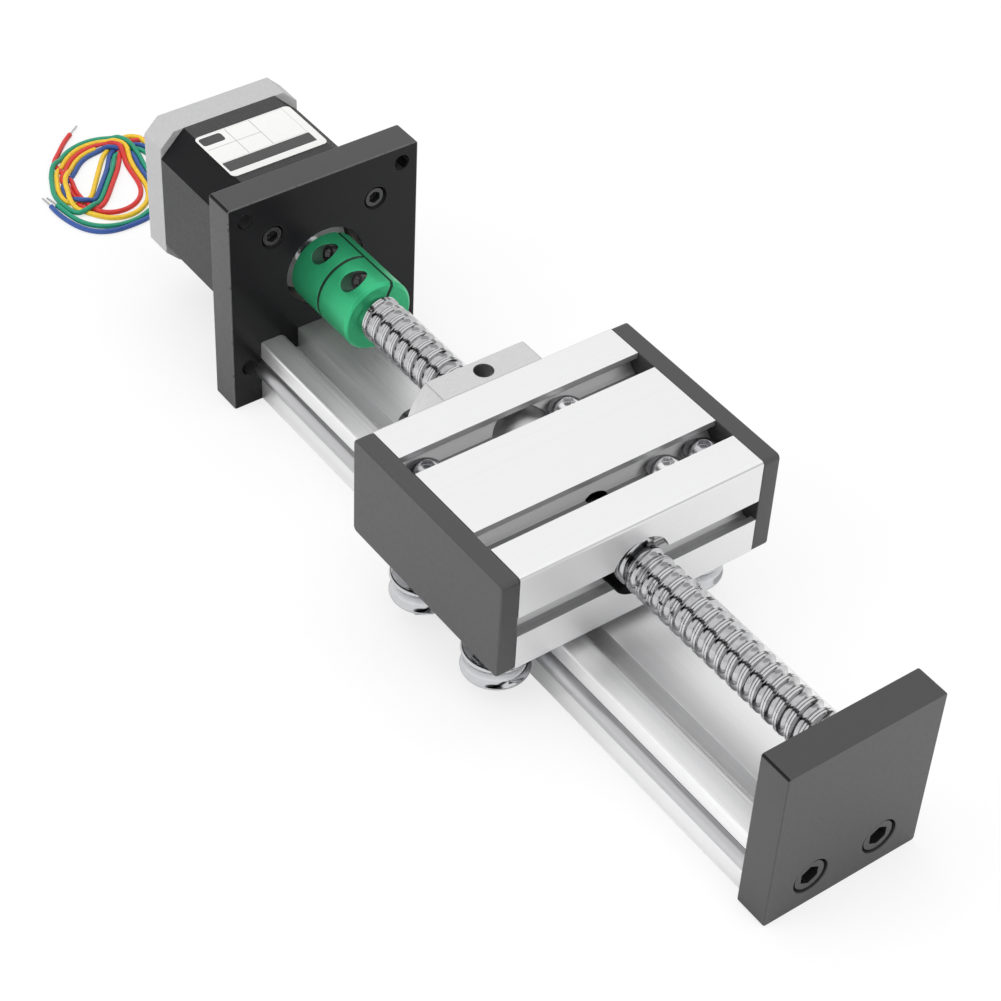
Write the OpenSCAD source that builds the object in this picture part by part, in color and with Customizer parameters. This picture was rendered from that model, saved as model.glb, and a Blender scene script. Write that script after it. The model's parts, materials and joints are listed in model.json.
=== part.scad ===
// Ball screw linear module: an extruded rail with two steel guide rods, a four-roller
// carriage driven by a ball nut, a clamp coupling and a square stepper motor.
// +X runs along the screw away from the motor, +Z is up, and the origin is at the
// centre of the rail's underside. All sizes are in millimetres.

/* [Rail] */
// Length of the rail between the two plates
rail_len = 200; // [170:1:400]
// Width of the rail
rail_w = 40; // [39:0.5:44]
// Height of the rail
rail_h = 19.2; // [19:0.1:20]
// Half width of the raised band along the middle of the rail
band_half_w = 8.6; // [8:0.1:9]
// Width of the two narrow slots in the rail's top
top_slot_w = 3.6; // [3:0.1:3.8]
// Depth of the two narrow slots in the rail's top
top_slot_depth = 6.2; // [4:0.1:6.4]
// Sideways distance of the underside T-slots and the core holes from the middle
core_y = 10; // [9.6:0.1:10.4]
// Opening of the underside T-slots
base_slot_w = 6.2; // [5:0.1:7]
// Inner width of the underside T-slots
base_slot_inner = 10.4; // [9:0.1:11]
// Depth of the underside T-slots
base_slot_depth = 5.4; // [4.5:0.1:5.8]
// Height of the core holes above the underside
core_z = 9.1; // [8.8:0.1:9.4]

/* [Guide rods] */
// Diameter of the guide rods
rod_d = 6; // [5:0.1:6.4]
// Distance of a rod's centre inside the rail's side face
rod_inset = 1.2; // [0.8:0.1:1.6]
// Height of the rods above the underside
rod_z = 10.4; // [10:0.1:11]

/* [Plates] */
// Height of the screw axis above the underside
axis_z = 36; // [35.5:0.1:42]
// Width of the motor plate
motor_plate_w = 57; // [56:0.5:70]
// Thickness of the motor plate
motor_plate_t = 9; // [8:0.5:14]
// Height of the motor plate above the screw axis
motor_plate_rise = 28.5; // [27:0.5:35]
// Distance between the corner holes of the motor plate
corner_hole_pitch = 47.14; // [47:0.01:49]
// Diameter of the corner holes
corner_hole_d = 4.3; // [3.5:0.1:4.5]
// Bore of the motor plate around the coupling
plate_bore_d = 23; // [22.4:0.1:25]
// Width of the end plate
end_plate_w = 44.6; // [42:0.2:56]
// Height of the end plate above the screw axis
end_plate_rise = 12.6; // [12:0.2:20]
// Thickness of the end plate
end_plate_t = 9; // [8.2:0.2:14]
// Corner radius of both plates
plate_corner_r = 2; // [1:0.5:4]

/* [Carriage] */
// Place of the carriage's middle along the rail, at rest
carriage_x = 3.4; // [-8:0.2:30]
// Size of the carriage block along the rail
carriage_w = 59; // [57:0.5:70]
// Height of the carriage block
carriage_h = 29; // [28.6:0.1:30]
// Distance between a roller's axle and the nearer end of the block
axle_edge = 5.8; // [5.4:0.1:15]
// Thickness of the end caps
cap_t = 5; // [3:0.5:8]
// Distance of the T-slots from the carriage's middle
slot_x = 14.85; // [14.5:0.05:16]
// Opening of the carriage's T-slots
slot_w = 6.4; // [6:0.1:7]
// Inner width of the carriage's T-slots
slot_inner = 11.6; // [11:0.1:12]
// Thickness of the lips beside the T-slots
slot_lip = 1.8; // [1.5:0.1:2]
// Depth of the carriage's T-slots
slot_depth = 6.8; // [6.6:0.1:7.2]
// Opening of the slots in the carriage's narrow faces
side_slot_w = 5.9; // [5:0.1:6.5]
// Distance of those slots below the screw axis
side_slot_drop = 0.7; // [0:0.1:1]

/* [Rollers] */
// Outer diameter of a roller
roller_d = 17; // [16:0.2:18]
// Width of a roller
roller_w = 7; // [6.6:0.2:8]
// Distance between a roller's axis and the rod it runs on
roller_offset = 10.4; // [10.2:0.1:11]
// Diameter of the roller axles
axle_d = 5; // [4:0.1:5]

/* [Ball screw] */
// Outer diameter of the screw
screw_d = 12; // [11:0.2:12.4]
// Lead of the screw's thread
thread_lead = 4; // [3.8:0.1:5]
// Radius of the groove that the balls roll in
thread_groove_r = 1.35; // [1.2:0.05:1.45]
// Diameter of the screw's end journals
journal_d = 8; // [7:0.2:8]
// Outer diameter of the nut's body
nut_d = 22; // [21:0.2:22.4]
// Diameter of the nut's flange
nut_flange_d = 40; // [39:0.5:42]
// Distance across the flats of the nut's flange
nut_flats = 28; // [27:0.5:30]
// Thickness of the nut's flange
nut_flange_t = 8; // [6:0.5:10]
// Length of the nut's body behind the flange
nut_body_len = 27; // [24:0.5:30]
// Distance of the flange screws inside the flange's rim
nut_screw_edge = 4; // [3.9:0.1:4.5]

/* [Coupling] */
// Outer diameter of the coupling
coupling_d = 20; // [19:0.2:22]
// Length of the coupling
coupling_len = 26; // [24:0.5:30]
// How far the coupling reaches into the motor plate
coupling_sink = 1; // [0.5:0.1:1.5]
// Width of the coupling's sawn slots
coupling_cut = 0.9; // [0.6:0.1:1.2]
// Angle of the coupling's clamp slits around the screw
coupling_turn = 65; // [0:5:90]

/* [Motor] */
// Side of the square motor
motor_w = 42.3; // [42:0.1:44]
// Length of the front bell
front_bell_len = 8.7; // [8:0.1:12]
// Length of the stator stack
stator_len = 28.6; // [24:0.2:60]
// Length of the rear bell
rear_bell_len = 9.7; // [9:0.1:14]
// Distance between the motor's mounting screws
motor_hole_pitch = 31; // [30.6:0.1:31.4]
// Diameter of the motor shaft
shaft_d = 5; // [4:0.1:5]
// Corner chamfer of the two bells
bell_chamfer = 4.2; // [3.5:0.1:4.6]
// Corner chamfer of the stator stack
stator_chamfer = 7.2; // [6.6:0.1:7.4]

/* [Leads] */
// Diameter of the motor leads
lead_d = 1.5; // [1.2:0.1:1.6]
// Outer radius of the coiled leads
lead_coil_r = 22; // [20:0.5:24]
// Height of the coiled leads
lead_coil_h = 4.6; // [3:0.1:6]

/* [Hidden] */
$fn = 64;

// Clearances and small sizes shared by several pieces
run_gap = 0.05;          // between a shaft or ball and what it turns in
slide_gap = 0.25;        // between a moving curved face and its neighbour
cut_more = 1;            // how far a cutter passes a face

// Rail
rail_side_lip = 3.5;     // half height of the channel that holds a rod
rail_slot_fillet = 2.4;  // rounding of the outer lip beside a top slot
rail_edge_r = 0.6;
core_d = 4.2;
base_slot_lip = 1.6;
chamber_w = 9.6;
chamber_h = 8.4;
chamber_z = 7.6;
rod_y = rail_w / 2 - rod_inset;

// Plates
rail_end = rail_len / 2;
motor_face_x = -rail_end - motor_plate_t;
cap_screw_d = 5;         // screws that hold the plates to the rail's core holes
cap_head_d = 8.5;
cap_head_h = 5;
cap_pocket_d = 9.6;
cap_pocket_depth = 5.4;
cap_screw_len = 16;
mount_screw_d = 3;       // screws that hold the motor to its plate
mount_head_d = 5.5;
mount_head_h = 3;
mount_pocket_d = 6.6;
mount_pocket_depth = 3.4;
mount_thread = 4;        // how far those screws reach into the front bell
socket_share = 0.55;     // a hex socket's width across its head's diameter

// Screw and bearings
bearing_end_d = 19;      // end bearing, 8 mm bore
bearing_end_w = 6;
motor_bearing_d = 16;    // motor bearings, 5 mm bore
motor_bearing_w = 5;
journal_gap = 1.5;       // length of the collar between thread and end bearing
groove_out = 0.1;        // how far the groove's centre lies outside the screw
screw_collar_d = 10;
coupling_x = -rail_end - coupling_sink;
screw_start = coupling_x + coupling_len;
screw_stop = rail_end - journal_gap;
coupling_gap = 0.5;      // between the shaft ends inside the coupling
clamp_offset = 6.4;      // distance of a clamp screw from the coupling's axis
clamp_spread = 6.7;      // distance of a clamp screw from the coupling's middle
clamp_pocket_d = 5.5;
clamp_head_d = 4.5;
clamp_head_h = 2.5;
clamp_screw_d = 2.5;
clamp_floor = 3.2;       // height of the clamp screw's seat above the slit

// Motor
stator_x = motor_face_x - front_bell_len;
rear_bell_x = stator_x - stator_len;
motor_end_x = rear_bell_x - rear_bell_len;
pilot_d = 22;
pilot_h = 2;
rotor_d = 23.6;
air_gap = 0.2;
pole_count = 8;
pole_w = 4.4;
stator_ring_r = 17.6;
coil_t = 1.5;
rotor_cup_len = 10;
rotor_magnet_len = 2.4;
tie_screw_d = 3;
tie_head_d = 5.6;
tie_head_h = 2;
tie_recess = 2.2;
label_w = 29;
label_l = 20;
label_t = 0.15;
label_r = 1.5;
label_x = stator_x - 12.7;
washer_t = 0.5;

// Carriage
roller_y = rod_y + roller_offset;
carriage_len = 2 * (roller_y + axle_edge);
block_back = carriage_x - carriage_w / 2;
block_top = axis_z + carriage_h / 2;
block_bottom = axis_z - carriage_h / 2;
block_r = 1;
slot_floor = block_top - slot_depth;
slot_taper = 2.2;
block_chamber_w = 13;
block_chamber_h = 19;
nut_fit = 0.05;
screw_hole_d = 16.4;
cap_plug_len = 6;
cap_plug_gap = 0.1;
cap_r = 1.4;
nut_end = block_back + nut_body_len;
nut_bore_d = screw_d + 0.5;
wiper_t = 2.4;
wiper_d = 17;
nut_screw_d = 4;
nut_head_d = 7;
nut_head_h = 4;
nut_screw_hold = 8;
nut_pcd = nut_flange_d - 2 * nut_screw_edge;
nut_hole_angles = [0, 45, 135, 180, 225, 315];
nut_screw_angles = [0, 180];
oil_hole_d = 5;
return_r = (nut_bore_d + nut_d) / 4;    // radius at which the balls run back
nut_ball_d = 2.38;
return_gap = 0.06;
return_balls = 7;

// Rollers
roller_top = rod_z + roller_w / 2;
roller_bottom = rod_z - roller_w / 2;
groove_r = rod_d / 2 + slide_gap;
ring_proud = 0.25;       // how far the inner ring stands proud of its roller
ring_d = 8;
race_pitch_r = 4.95;
race_ball_d = 2.5;
roller_bore_r = 5.9;
shield_t = 0.6;
shield_r = ring_d / 2 + 0.3;
button_d = 9.5;
button_h = 2.75;
washer_h = 1.9;
washer_d = 10;
spacer_d = 8;
axle_nut_h = 4;
axle_nut_af = 8;
axle_head_d = 8.5;
axle_head_h = 3.5;
bush_af = 10;
bush_collar = 4;
thread_hold = 8;
slot_screw_y = [18.2, 11.6];
slot_nut_l = 6.8;

// Leads
lead_pitch = 1.75;
lead_sides = 8;
grommet_l = 8.6;
grommet_w = 4.6;
grommet_h = 3;
grommet_proud = 0.9;
lead_exit_x = rear_bell_x - 3.2;
lead_exit_z = axis_z - motor_w / 2 - grommet_proud;
lead_coil_at = [-55, -6];
lead_coil_w = 14;
// The leads' way from their exit down to the floor and along it, to the coil beside the motor
lead_route = [
    [0, 0, lead_exit_z], [0, 0, 9.5], [-1.1, 0, 5.4], [-3.9, 0, 2.4], [-7.9, 0, 1],
    [-12.5, 0, 0.8], [-17.5, 0.4, 0.8], [-22.5, 1.6, 0.8], [-27.5, 3.6, 0.8],
    [-32.5, 6, 0.8], [-37.5, 8.4, 0.8], [-42.5, 10.2, 0.8]
];
// How many points of the route each lead follows, and where it then joins the coil
lead_joins = [
    [12, [-46.4, 13.7, 0.8]], [11, [-41.2, 10.7, 0.8]],
    [10, [-38.2, 7.7, 0.8]], [10, [-36.4, 4.95, 0.8]]
];
red_tail = [[-75.9, -10.8, 0.8], [-78.1, -8.4, 0.8], [-79.9, -5.4, 0.8], [-80.9, -2.4, 0.8],
            [-81.1, -0.8, 0.8]];

function ring_points(c, t, side, r) =
    let (up = cross(t, side) / norm(cross(t, side)))
    [for (k = [0:lead_sides - 1])
        let (a = (k + 0.5) * 360 / lead_sides) c + r * (cos(a) * side + sin(a) * up)];
function heading(path, i) =
    path[min(i + 1, len(path) - 1)] - path[max(i - 1, 0)];
function sideways(path, i) =
    let (h = heading(path, i), flat = norm([h[0], h[1]]))
    flat < 0.1 ? [0, -1, 0] : [-h[1], h[0], 0] / flat;
function shifted(path, o) = [for (i = [0:len(path) - 1]) path[i] + o * sideways(path, i)];

// A cylinder along X, Y or Z that starts at p
module bar_x(p, d, l) { translate(p) rotate([0, 90, 0]) cylinder(d = d, h = l); }
module bar_z(p, d, l) { translate(p) cylinder(d = d, h = l); }
// A hexagonal prism across flats af
module hex_z(p, af, l) { translate(p) cylinder(d = af / cos(30), h = l, $fn = 6); }
// Extrudes a shape drawn in YZ along X, or one drawn in XZ along Y about the middle
module along_x(x, l) { translate([x, 0, 0]) rotate([90, 0, 90]) linear_extrude(l) children(); }
module along_y(l) { rotate([90, 0, 0]) linear_extrude(l, center = true) children(); }
module both_sides() { children(); mirror([0, 1, 0]) children(); }

module rounded_rect(w, h, r) {
    square([w - 2 * r, h], center = true);
    square([w, h - 2 * r], center = true);
    for (x = [-1, 1], y = [-1, 1]) translate([x * (w / 2 - r), y * (h / 2 - r)]) circle(r);
}

module chamfered_square(w, c) {
    a = w / 2;
    b = w / 2 - c;
    polygon([[a, b], [b, a], [-b, a], [-a, b], [-a, -b], [-b, -a], [b, -a], [a, -b]]);
}

// Cap screw along -X or +X: the head's seat is at p, dir is the way the shank points
module cap_screw_x(p, dir, d, head_d, head_h, l) {
    translate(p) rotate([0, dir * 90, 0]) difference() {
        union() {
            translate([0, 0, -head_h]) cylinder(d = head_d, h = head_h);
            cylinder(d = d, h = l);
        }
        hex_z([0, 0, -head_h - cut_more], head_d * socket_share, head_h * 0.6 + cut_more);
    }
}

// ---------------------------------------------------------------- rail and rods
module rail_half_cuts() {
    // narrow slot in the top, with the rounded lip beside it
    translate([band_half_w, rail_h - top_slot_depth])
        square([top_slot_w, top_slot_depth + cut_more]);
    slot_edge = band_half_w + top_slot_w;
    difference() {
        translate([slot_edge - cut_more, rail_h - rail_slot_fillet])
            square([rail_slot_fillet + cut_more, rail_slot_fillet + cut_more]);
        translate([slot_edge + rail_slot_fillet, rail_h - rail_slot_fillet])
            circle(rail_slot_fillet);
        translate([slot_edge - 2 * cut_more, rail_h - 2 * rail_slot_fillet])
            square([2 * cut_more, rail_slot_fillet]);
    }
    // channel of the guide rod
    translate([rod_y, rod_z]) circle(d = rod_d);
    translate([rod_y - rod_d / 4, rod_z - rail_side_lip])
        square([rail_w, 2 * rail_side_lip]);
    // T-slot in the underside
    translate([core_y - base_slot_w / 2, -cut_more])
        square([base_slot_w, base_slot_depth + cut_more]);
    translate([core_y - base_slot_inner / 2, base_slot_lip])
        square([base_slot_inner, base_slot_depth - base_slot_lip]);
    translate([core_y, core_z]) circle(d = core_d);
}

module rail() {
    color("silver")
    along_x(-rail_end, rail_len) difference() {
        translate([0, rail_h / 2]) rounded_rect(rail_w, rail_h, rail_edge_r);
        rail_half_cuts();
        mirror([1, 0]) rail_half_cuts();
        translate([-chamber_w / 2, chamber_z]) square([chamber_w, chamber_h]);
    }
}

module rod(side) {
    color("gainsboro") bar_x([-rail_end, side * rod_y, rod_z], rod_d, rail_len);
}

// ---------------------------------------------------------------- plates
module plate(x, t, w, h) {
    along_x(x, t) translate([0, h / 2]) rounded_rect(w, h, plate_corner_r);
}

module motor_plate() {
    color("dimgray")
    difference() {
        plate(motor_face_x, motor_plate_t, motor_plate_w, axis_z + motor_plate_rise);
        bar_x([motor_face_x - cut_more, 0, axis_z], plate_bore_d, motor_plate_t + 2 * cut_more);
        for (y = [-1, 1], z = [-1, 1])
            bar_x([motor_face_x - cut_more, y * corner_hole_pitch / 2,
                   axis_z + z * corner_hole_pitch / 2],
                  corner_hole_d, motor_plate_t + 2 * cut_more);
        upper_motor_corners() {
            bar_x([motor_face_x - cut_more, 0, 0], mount_screw_d, motor_plate_t + cut_more);
            bar_x([-rail_end - mount_pocket_depth, 0, 0], mount_pocket_d,
                  mount_pocket_depth + cut_more);
        }
        both_sides() {
            bar_x([motor_face_x - cut_more, core_y, core_z], cap_screw_d,
                  motor_plate_t + 2 * cut_more);
            bar_x([motor_face_x - cut_more, core_y, core_z], cap_pocket_d,
                  cap_pocket_depth + cut_more);
        }
    }
}

module end_plate() {
    color("dimgray")
    difference() {
        plate(rail_end, end_plate_t, end_plate_w, axis_z + end_plate_rise);
        bar_x([rail_end - cut_more, 0, axis_z], bearing_end_d, bearing_end_w + cut_more);
        bar_x([rail_end, 0, axis_z], journal_d + 2, bearing_end_w + 1);
        both_sides() {
            bar_x([rail_end - cut_more, core_y, core_z], cap_screw_d,
                  end_plate_t + 2 * cut_more);
            bar_x([rail_end + end_plate_t - cap_pocket_depth, core_y, core_z], cap_pocket_d,
                  cap_pocket_depth + cut_more);
        }
    }
}

// The screws' threads fill the core holes, so their ends are as wide as those holes
module plate_screw(x, dir, plate_t) {
    reach = plate_t - cap_pocket_depth;
    cap_screw_x([x, core_y, core_z], dir, cap_screw_d, cap_head_d, cap_head_h, reach);
    bar_x([dir > 0 ? x + reach : x - cap_screw_len, core_y, core_z], core_d,
          cap_screw_len - reach);
}

module end_plate_screws() {
    color("dimgray") both_sides()
        plate_screw(rail_end + end_plate_t - cap_pocket_depth, -1, end_plate_t);
}

module motor_plate_screws() {
    color("dimgray") both_sides()
        plate_screw(motor_face_x + cap_pocket_depth, 1, motor_plate_t);
}

// ---------------------------------------------------------------- motor
module motor_corners() {
    for (y = [-1, 1], z = [-1, 1])
        translate([0, y * motor_hole_pitch / 2, axis_z + z * motor_hole_pitch / 2]) children();
}
// The rail covers the lower two of the motor's threaded holes
module upper_motor_corners() {
    both_sides()
        translate([0, motor_hole_pitch / 2, axis_z + motor_hole_pitch / 2]) children();
}

module motor_mount_screws() {
    seat = -rail_end - mount_pocket_depth;
    color("dimgray") upper_motor_corners()
        cap_screw_x([seat, 0, 0], -1, mount_screw_d, mount_head_d, mount_head_h,
                    motor_plate_t - mount_pocket_depth + mount_thread);
}

module motor_front_bell() {
    color("lightgray")
    difference() {
        union() {
            translate([0, 0, axis_z]) along_x(stator_x, front_bell_len)
                chamfered_square(motor_w, bell_chamfer);
            bar_x([motor_face_x, 0, axis_z], pilot_d, pilot_h);
        }
        // bearing seat, opening for the windings, and the shaft's way out
        bar_x([motor_face_x - motor_bearing_w, 0, axis_z], motor_bearing_d, motor_bearing_w);
        bar_x([stator_x - cut_more, 0, axis_z], 2 * stator_ring_r,
              front_bell_len - motor_bearing_w + cut_more);
        bar_x([motor_face_x - cut_more, 0, axis_z], shaft_d + 4, pilot_h + 2 * cut_more);
        motor_corners() bar_x([motor_face_x - mount_thread, 0, 0], mount_screw_d,
                              mount_thread + cut_more);
        motor_corners() bar_x([stator_x - cut_more, 0, 0], tie_screw_d,
                              front_bell_len - mount_thread - 0.7 + cut_more);
    }
}

module motor_stator() {
    color("#2b2b2b")
    translate([0, 0, axis_z]) difference() {
        along_x(rear_bell_x, stator_len) difference() {
            chamfered_square(motor_w, stator_chamfer);
            difference() {
                circle(stator_ring_r);
                for (k = [0:pole_count - 1]) rotate(k * 360 / pole_count)
                    translate([rotor_d / 2 + air_gap / 2, -pole_w / 2])
                        square([stator_ring_r, pole_w]);
                difference() {
                    circle(d = rotor_d + 2 * air_gap + 3);
                    for (k = [0:pole_count - 1]) rotate((k + 0.5) * 360 / pole_count)
                        translate([0, -1.2]) square([stator_ring_r, 2.4]);
                }
            }
            circle(d = rotor_d + 2 * air_gap);
        }
        for (y = [-1, 1], z = [-1, 1])
            bar_x([rear_bell_x - cut_more, y * motor_hole_pitch / 2, z * motor_hole_pitch / 2],
                  tie_screw_d, stator_len + 2 * cut_more);
    }
}

// One winding around each pole, standing out at both ends of the stack
module motor_coils() {
    inner = rotor_d / 2 + air_gap + 1.9;
    outer = stator_ring_r - 0.5;
    stand = 1.6;
    color("peru")
    translate([0, 0, axis_z]) for (k = [0:pole_count - 1]) rotate([k * 360 / pole_count, 0, 0])
        difference() {
            translate([rear_bell_x - stand, -pole_w / 2 - coil_t, inner])
                cube([stator_len + 2 * stand, pole_w + 2 * coil_t, outer - inner]);
            translate([rear_bell_x, -pole_w / 2, inner - cut_more])
                cube([stator_len, pole_w, outer - inner + 2 * cut_more]);
        }
}

module motor_rear_bell() {
    rim = 1.2;
    color("lightgray")
    difference() {
        translate([0, 0, axis_z]) union() {
            along_x(motor_end_x + rim, rear_bell_len - rim)
                chamfered_square(motor_w, bell_chamfer);
            along_x(motor_end_x, rim) chamfered_square(motor_w - 2 * rim, bell_chamfer - 0.5);
        }
        bar_x([motor_end_x + 2, 0, axis_z], motor_bearing_d, rear_bell_len);
        bar_x([rear_bell_x - 2.4, 0, axis_z], 2 * stator_ring_r, 2.4 + cut_more);
        bar_x([motor_end_x - cut_more, 0, axis_z], shaft_d + 3, rear_bell_len);
        motor_corners() {
            bar_x([motor_end_x - cut_more, 0, 0], tie_screw_d, rear_bell_len + 2 * cut_more);
            bar_x([motor_end_x - cut_more, 0, 0], tie_head_d + 0.6, tie_recess + cut_more);
        }
        translate([lead_exit_x - grommet_w / 2, -grommet_l / 2, axis_z - motor_w / 2 - cut_more])
            cube([grommet_w, grommet_l, grommet_h - grommet_proud + cut_more]);
    }
}

module motor_tie_screws() {
    seat = motor_end_x + tie_recess;
    color("gray") motor_corners()
        cap_screw_x([seat, 0, 0], 1, tie_screw_d, tie_head_d, tie_head_h,
                    rear_bell_len - tie_recess + stator_len + 3);
}

module motor_label() {
    color("white")
    translate([label_x, 0, axis_z + motor_w / 2])
        linear_extrude(label_t) rounded_rect(label_l, label_w, label_r);
}

// ---------------------------------------------------------------- bearings
// Balls run in grooves cut halfway between the bore and the outer diameter
function pitch_r(bore, od) = (bore + od) / 4;
function ball_d(bore, od) = (od - bore) * 0.3;

module bearing_ring(x, bore, od, w, outer) {
    p = pitch_r(bore, od);
    b = ball_d(bore, od);
    land = b * 0.28;
    translate([x, 0, axis_z]) rotate([0, 90, 0]) rotate_extrude() difference() {
        if (outer) translate([p + land, 0]) square([od / 2 - p - land, w]);
        else translate([bore / 2, 0]) square([p - land - bore / 2, w]);
        translate([p, w / 2]) circle(d = b + 2 * run_gap, $fn = 32);
    }
}

module bearing_ball_ring(x, bore, od, w, count) {
    translate([x + w / 2, 0, axis_z]) for (k = [0:count - 1]) rotate([k * 360 / count, 0, 0])
        translate([0, 0, pitch_r(bore, od)]) sphere(d = ball_d(bore, od), $fn = 32);
}

front_bearing_x = motor_face_x - motor_bearing_w;
rear_bearing_x = motor_end_x + 2 + washer_t;

module front_bearing_outer() {
    color("silver")
        bearing_ring(front_bearing_x, shaft_d, motor_bearing_d, motor_bearing_w, true);
}
module front_bearing_inner() {
    color("silver")
        bearing_ring(front_bearing_x, shaft_d, motor_bearing_d, motor_bearing_w, false);
}
module rear_bearing_outer() {
    color("silver")
        bearing_ring(rear_bearing_x, shaft_d, motor_bearing_d, motor_bearing_w, true);
}
module rear_bearing_inner() {
    color("silver")
        bearing_ring(rear_bearing_x, shaft_d, motor_bearing_d, motor_bearing_w, false);
}
module end_bearing_outer() {
    color("silver") bearing_ring(rail_end, journal_d, bearing_end_d, bearing_end_w, true);
}
module end_bearing_inner() {
    color("silver") bearing_ring(rail_end, journal_d, bearing_end_d, bearing_end_w, false);
}
module bearing_balls() {
    color("gray") {
        bearing_ball_ring(front_bearing_x, shaft_d, motor_bearing_d, motor_bearing_w, 7);
        bearing_ball_ring(rear_bearing_x, shaft_d, motor_bearing_d, motor_bearing_w, 7);
        bearing_ball_ring(rail_end, journal_d, bearing_end_d, bearing_end_w, 9);
    }
}
module rear_bearing_washer() {
    color("silver")
    difference() {
        bar_x([motor_end_x + 2, 0, axis_z], motor_bearing_d - 0.4, washer_t);
        bar_x([motor_end_x + 2 - cut_more, 0, axis_z], motor_bearing_d - 4,
              washer_t + 2 * cut_more);
    }
}

// ---------------------------------------------------------------- shaft and rotor
rotor_x = (rear_bell_x + stator_x) / 2 - rotor_cup_len - rotor_magnet_len / 2;

module motor_shaft() {
    stop = coupling_x + coupling_len / 2 - coupling_gap;
    start = rear_bearing_x - 0.4;
    color("silver")
    bar_x([start, 0, axis_z], shaft_d, stop - start);
}

module rotor_cup(x) {
    color("gray")
    translate([0, 0, axis_z]) along_x(x, rotor_cup_len) difference() {
        circle(d = rotor_d);
        circle(d = shaft_d);
    }
}
module rotor_cup_rear() { rotor_cup(rotor_x); }
module rotor_cup_front() { rotor_cup(rotor_x + rotor_cup_len + rotor_magnet_len); }
module rotor_magnet() {
    color("dimgray")
    difference() {
        bar_x([rotor_x + rotor_cup_len, 0, axis_z], rotor_d - 1.6, rotor_magnet_len);
        bar_x([rotor_x, 0, axis_z], shaft_d, 2 * rotor_cup_len);
    }
}

// ---------------------------------------------------------------- screw and coupling
module ball_screw() {
    thread_len = screw_stop - screw_start;
    color("silver") {
        bar_x([coupling_x + coupling_len / 2 + coupling_gap, 0, axis_z], journal_d,
              coupling_len / 2 - coupling_gap);
        // each turn of the thread is drawn as a ring
        translate([screw_start, 0, axis_z]) rotate([0, 90, 0]) rotate_extrude() difference() {
            square([screw_d / 2, thread_len]);
            for (turn = [1:floor(thread_len / thread_lead)])
                translate([screw_d / 2 + groove_out, (turn - 0.5) * thread_lead])
                    circle(thread_groove_r);
        }
        bar_x([screw_stop, 0, axis_z], screw_collar_d, rail_end - screw_stop);
        bar_x([rail_end, 0, axis_z], journal_d, bearing_end_w + 0.5);
    }
}

// Places a clamp screw: its axis crosses the slit at clamp_offset from the screw axis
module clamp_place(s) {
    translate([coupling_x + coupling_len / 2 + s * clamp_spread, 0, axis_z])
        rotate([coupling_turn, 0, 0]) translate([0, clamp_offset, 0]) children();
}

module coupling() {
    half = coupling_len / 2;
    rim = 0.8;
    color("mediumseagreen")
    difference() {
        translate([coupling_x, 0, axis_z]) rotate([0, 90, 0]) {
            cylinder(d1 = coupling_d - 2 * rim, d2 = coupling_d, h = rim);
            translate([0, 0, rim]) cylinder(d = coupling_d, h = coupling_len - 2 * rim);
            translate([0, 0, coupling_len - rim])
                cylinder(d1 = coupling_d, d2 = coupling_d - 2 * rim, h = rim);
        }
        bar_x([coupling_x - cut_more, 0, axis_z], shaft_d, half + 2 * cut_more);
        bar_x([coupling_x + half, 0, axis_z], journal_d, half + cut_more);
        // clamp slit along the coupling, and the cross cut that frees the two clamps
        translate([coupling_x - cut_more, 0, axis_z]) rotate([coupling_turn, 0, 0])
            translate([0, 0, -coupling_cut / 2])
                cube([coupling_len + 2 * cut_more, coupling_d, coupling_cut]);
        translate([coupling_x + half - coupling_cut / 2, 0, axis_z])
            rotate([coupling_turn, 0, 0]) translate([0, -coupling_d, 0])
                cube([coupling_cut, 2 * coupling_d, coupling_d]);
        // pockets and holes of the clamp screws
        for (s = [-1, 1]) clamp_place(s) {
            translate([0, 0, clamp_floor]) cylinder(d = clamp_pocket_d, h = coupling_d);
            translate([0, 0, -coupling_d / 2]) cylinder(d = clamp_screw_d, h = coupling_d);
        }
    }
}

module coupling_screws() {
    color("#333333") for (s = [-1, 1]) clamp_place(s) difference() {
        union() {
            translate([0, 0, clamp_floor]) cylinder(d = clamp_head_d, h = clamp_head_h);
            translate([0, 0, -clamp_floor - 2]) cylinder(d = clamp_screw_d,
                                                          h = 2 * clamp_floor + 2);
        }
        hex_z([0, 0, clamp_floor + clamp_head_h * 0.4], clamp_head_d * 0.5, clamp_head_h);
    }
}

// ---------------------------------------------------------------- carriage
// One T-slot of the carriage, opening upward at the origin
module t_slot(w, inner, lip, depth) {
    translate([-w / 2, -depth]) square([w, depth + cut_more]);
    polygon([[-inner / 2, -lip], [inner / 2, -lip], [inner / 2, -depth + slot_taper],
             [inner / 2 - slot_taper, -depth], [-inner / 2 + slot_taper, -depth],
             [-inner / 2, -depth + slot_taper]]);
}

module block_profile() {
    difference() {
        rounded_rect(carriage_w, carriage_h, block_r);
        for (x = [-1, 1], z = [0, 1]) mirror([0, z])
            translate([x * slot_x, carriage_h / 2]) t_slot(slot_w, slot_inner, slot_lip, slot_depth);
        for (x = [0, 1]) mirror([x, 0]) translate([carriage_w / 2, -side_slot_drop])
            rotate(-90) t_slot(side_slot_w, side_slot_w + 3.4, slot_lip, slot_depth - 0.4);
        square([block_chamber_w, block_chamber_h], center = true);
    }
}

module at_axle(x, y) { translate([carriage_x + x * slot_x, y * roller_y, 0]) children(); }
// The fixed rollers sit at the front right and rear left corners
module at_fixed() { at_axle(1, 1) children(); at_axle(-1, -1) children(); }
module at_eccentric() { at_axle(1, -1) children(); at_axle(-1, 1) children(); }

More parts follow.
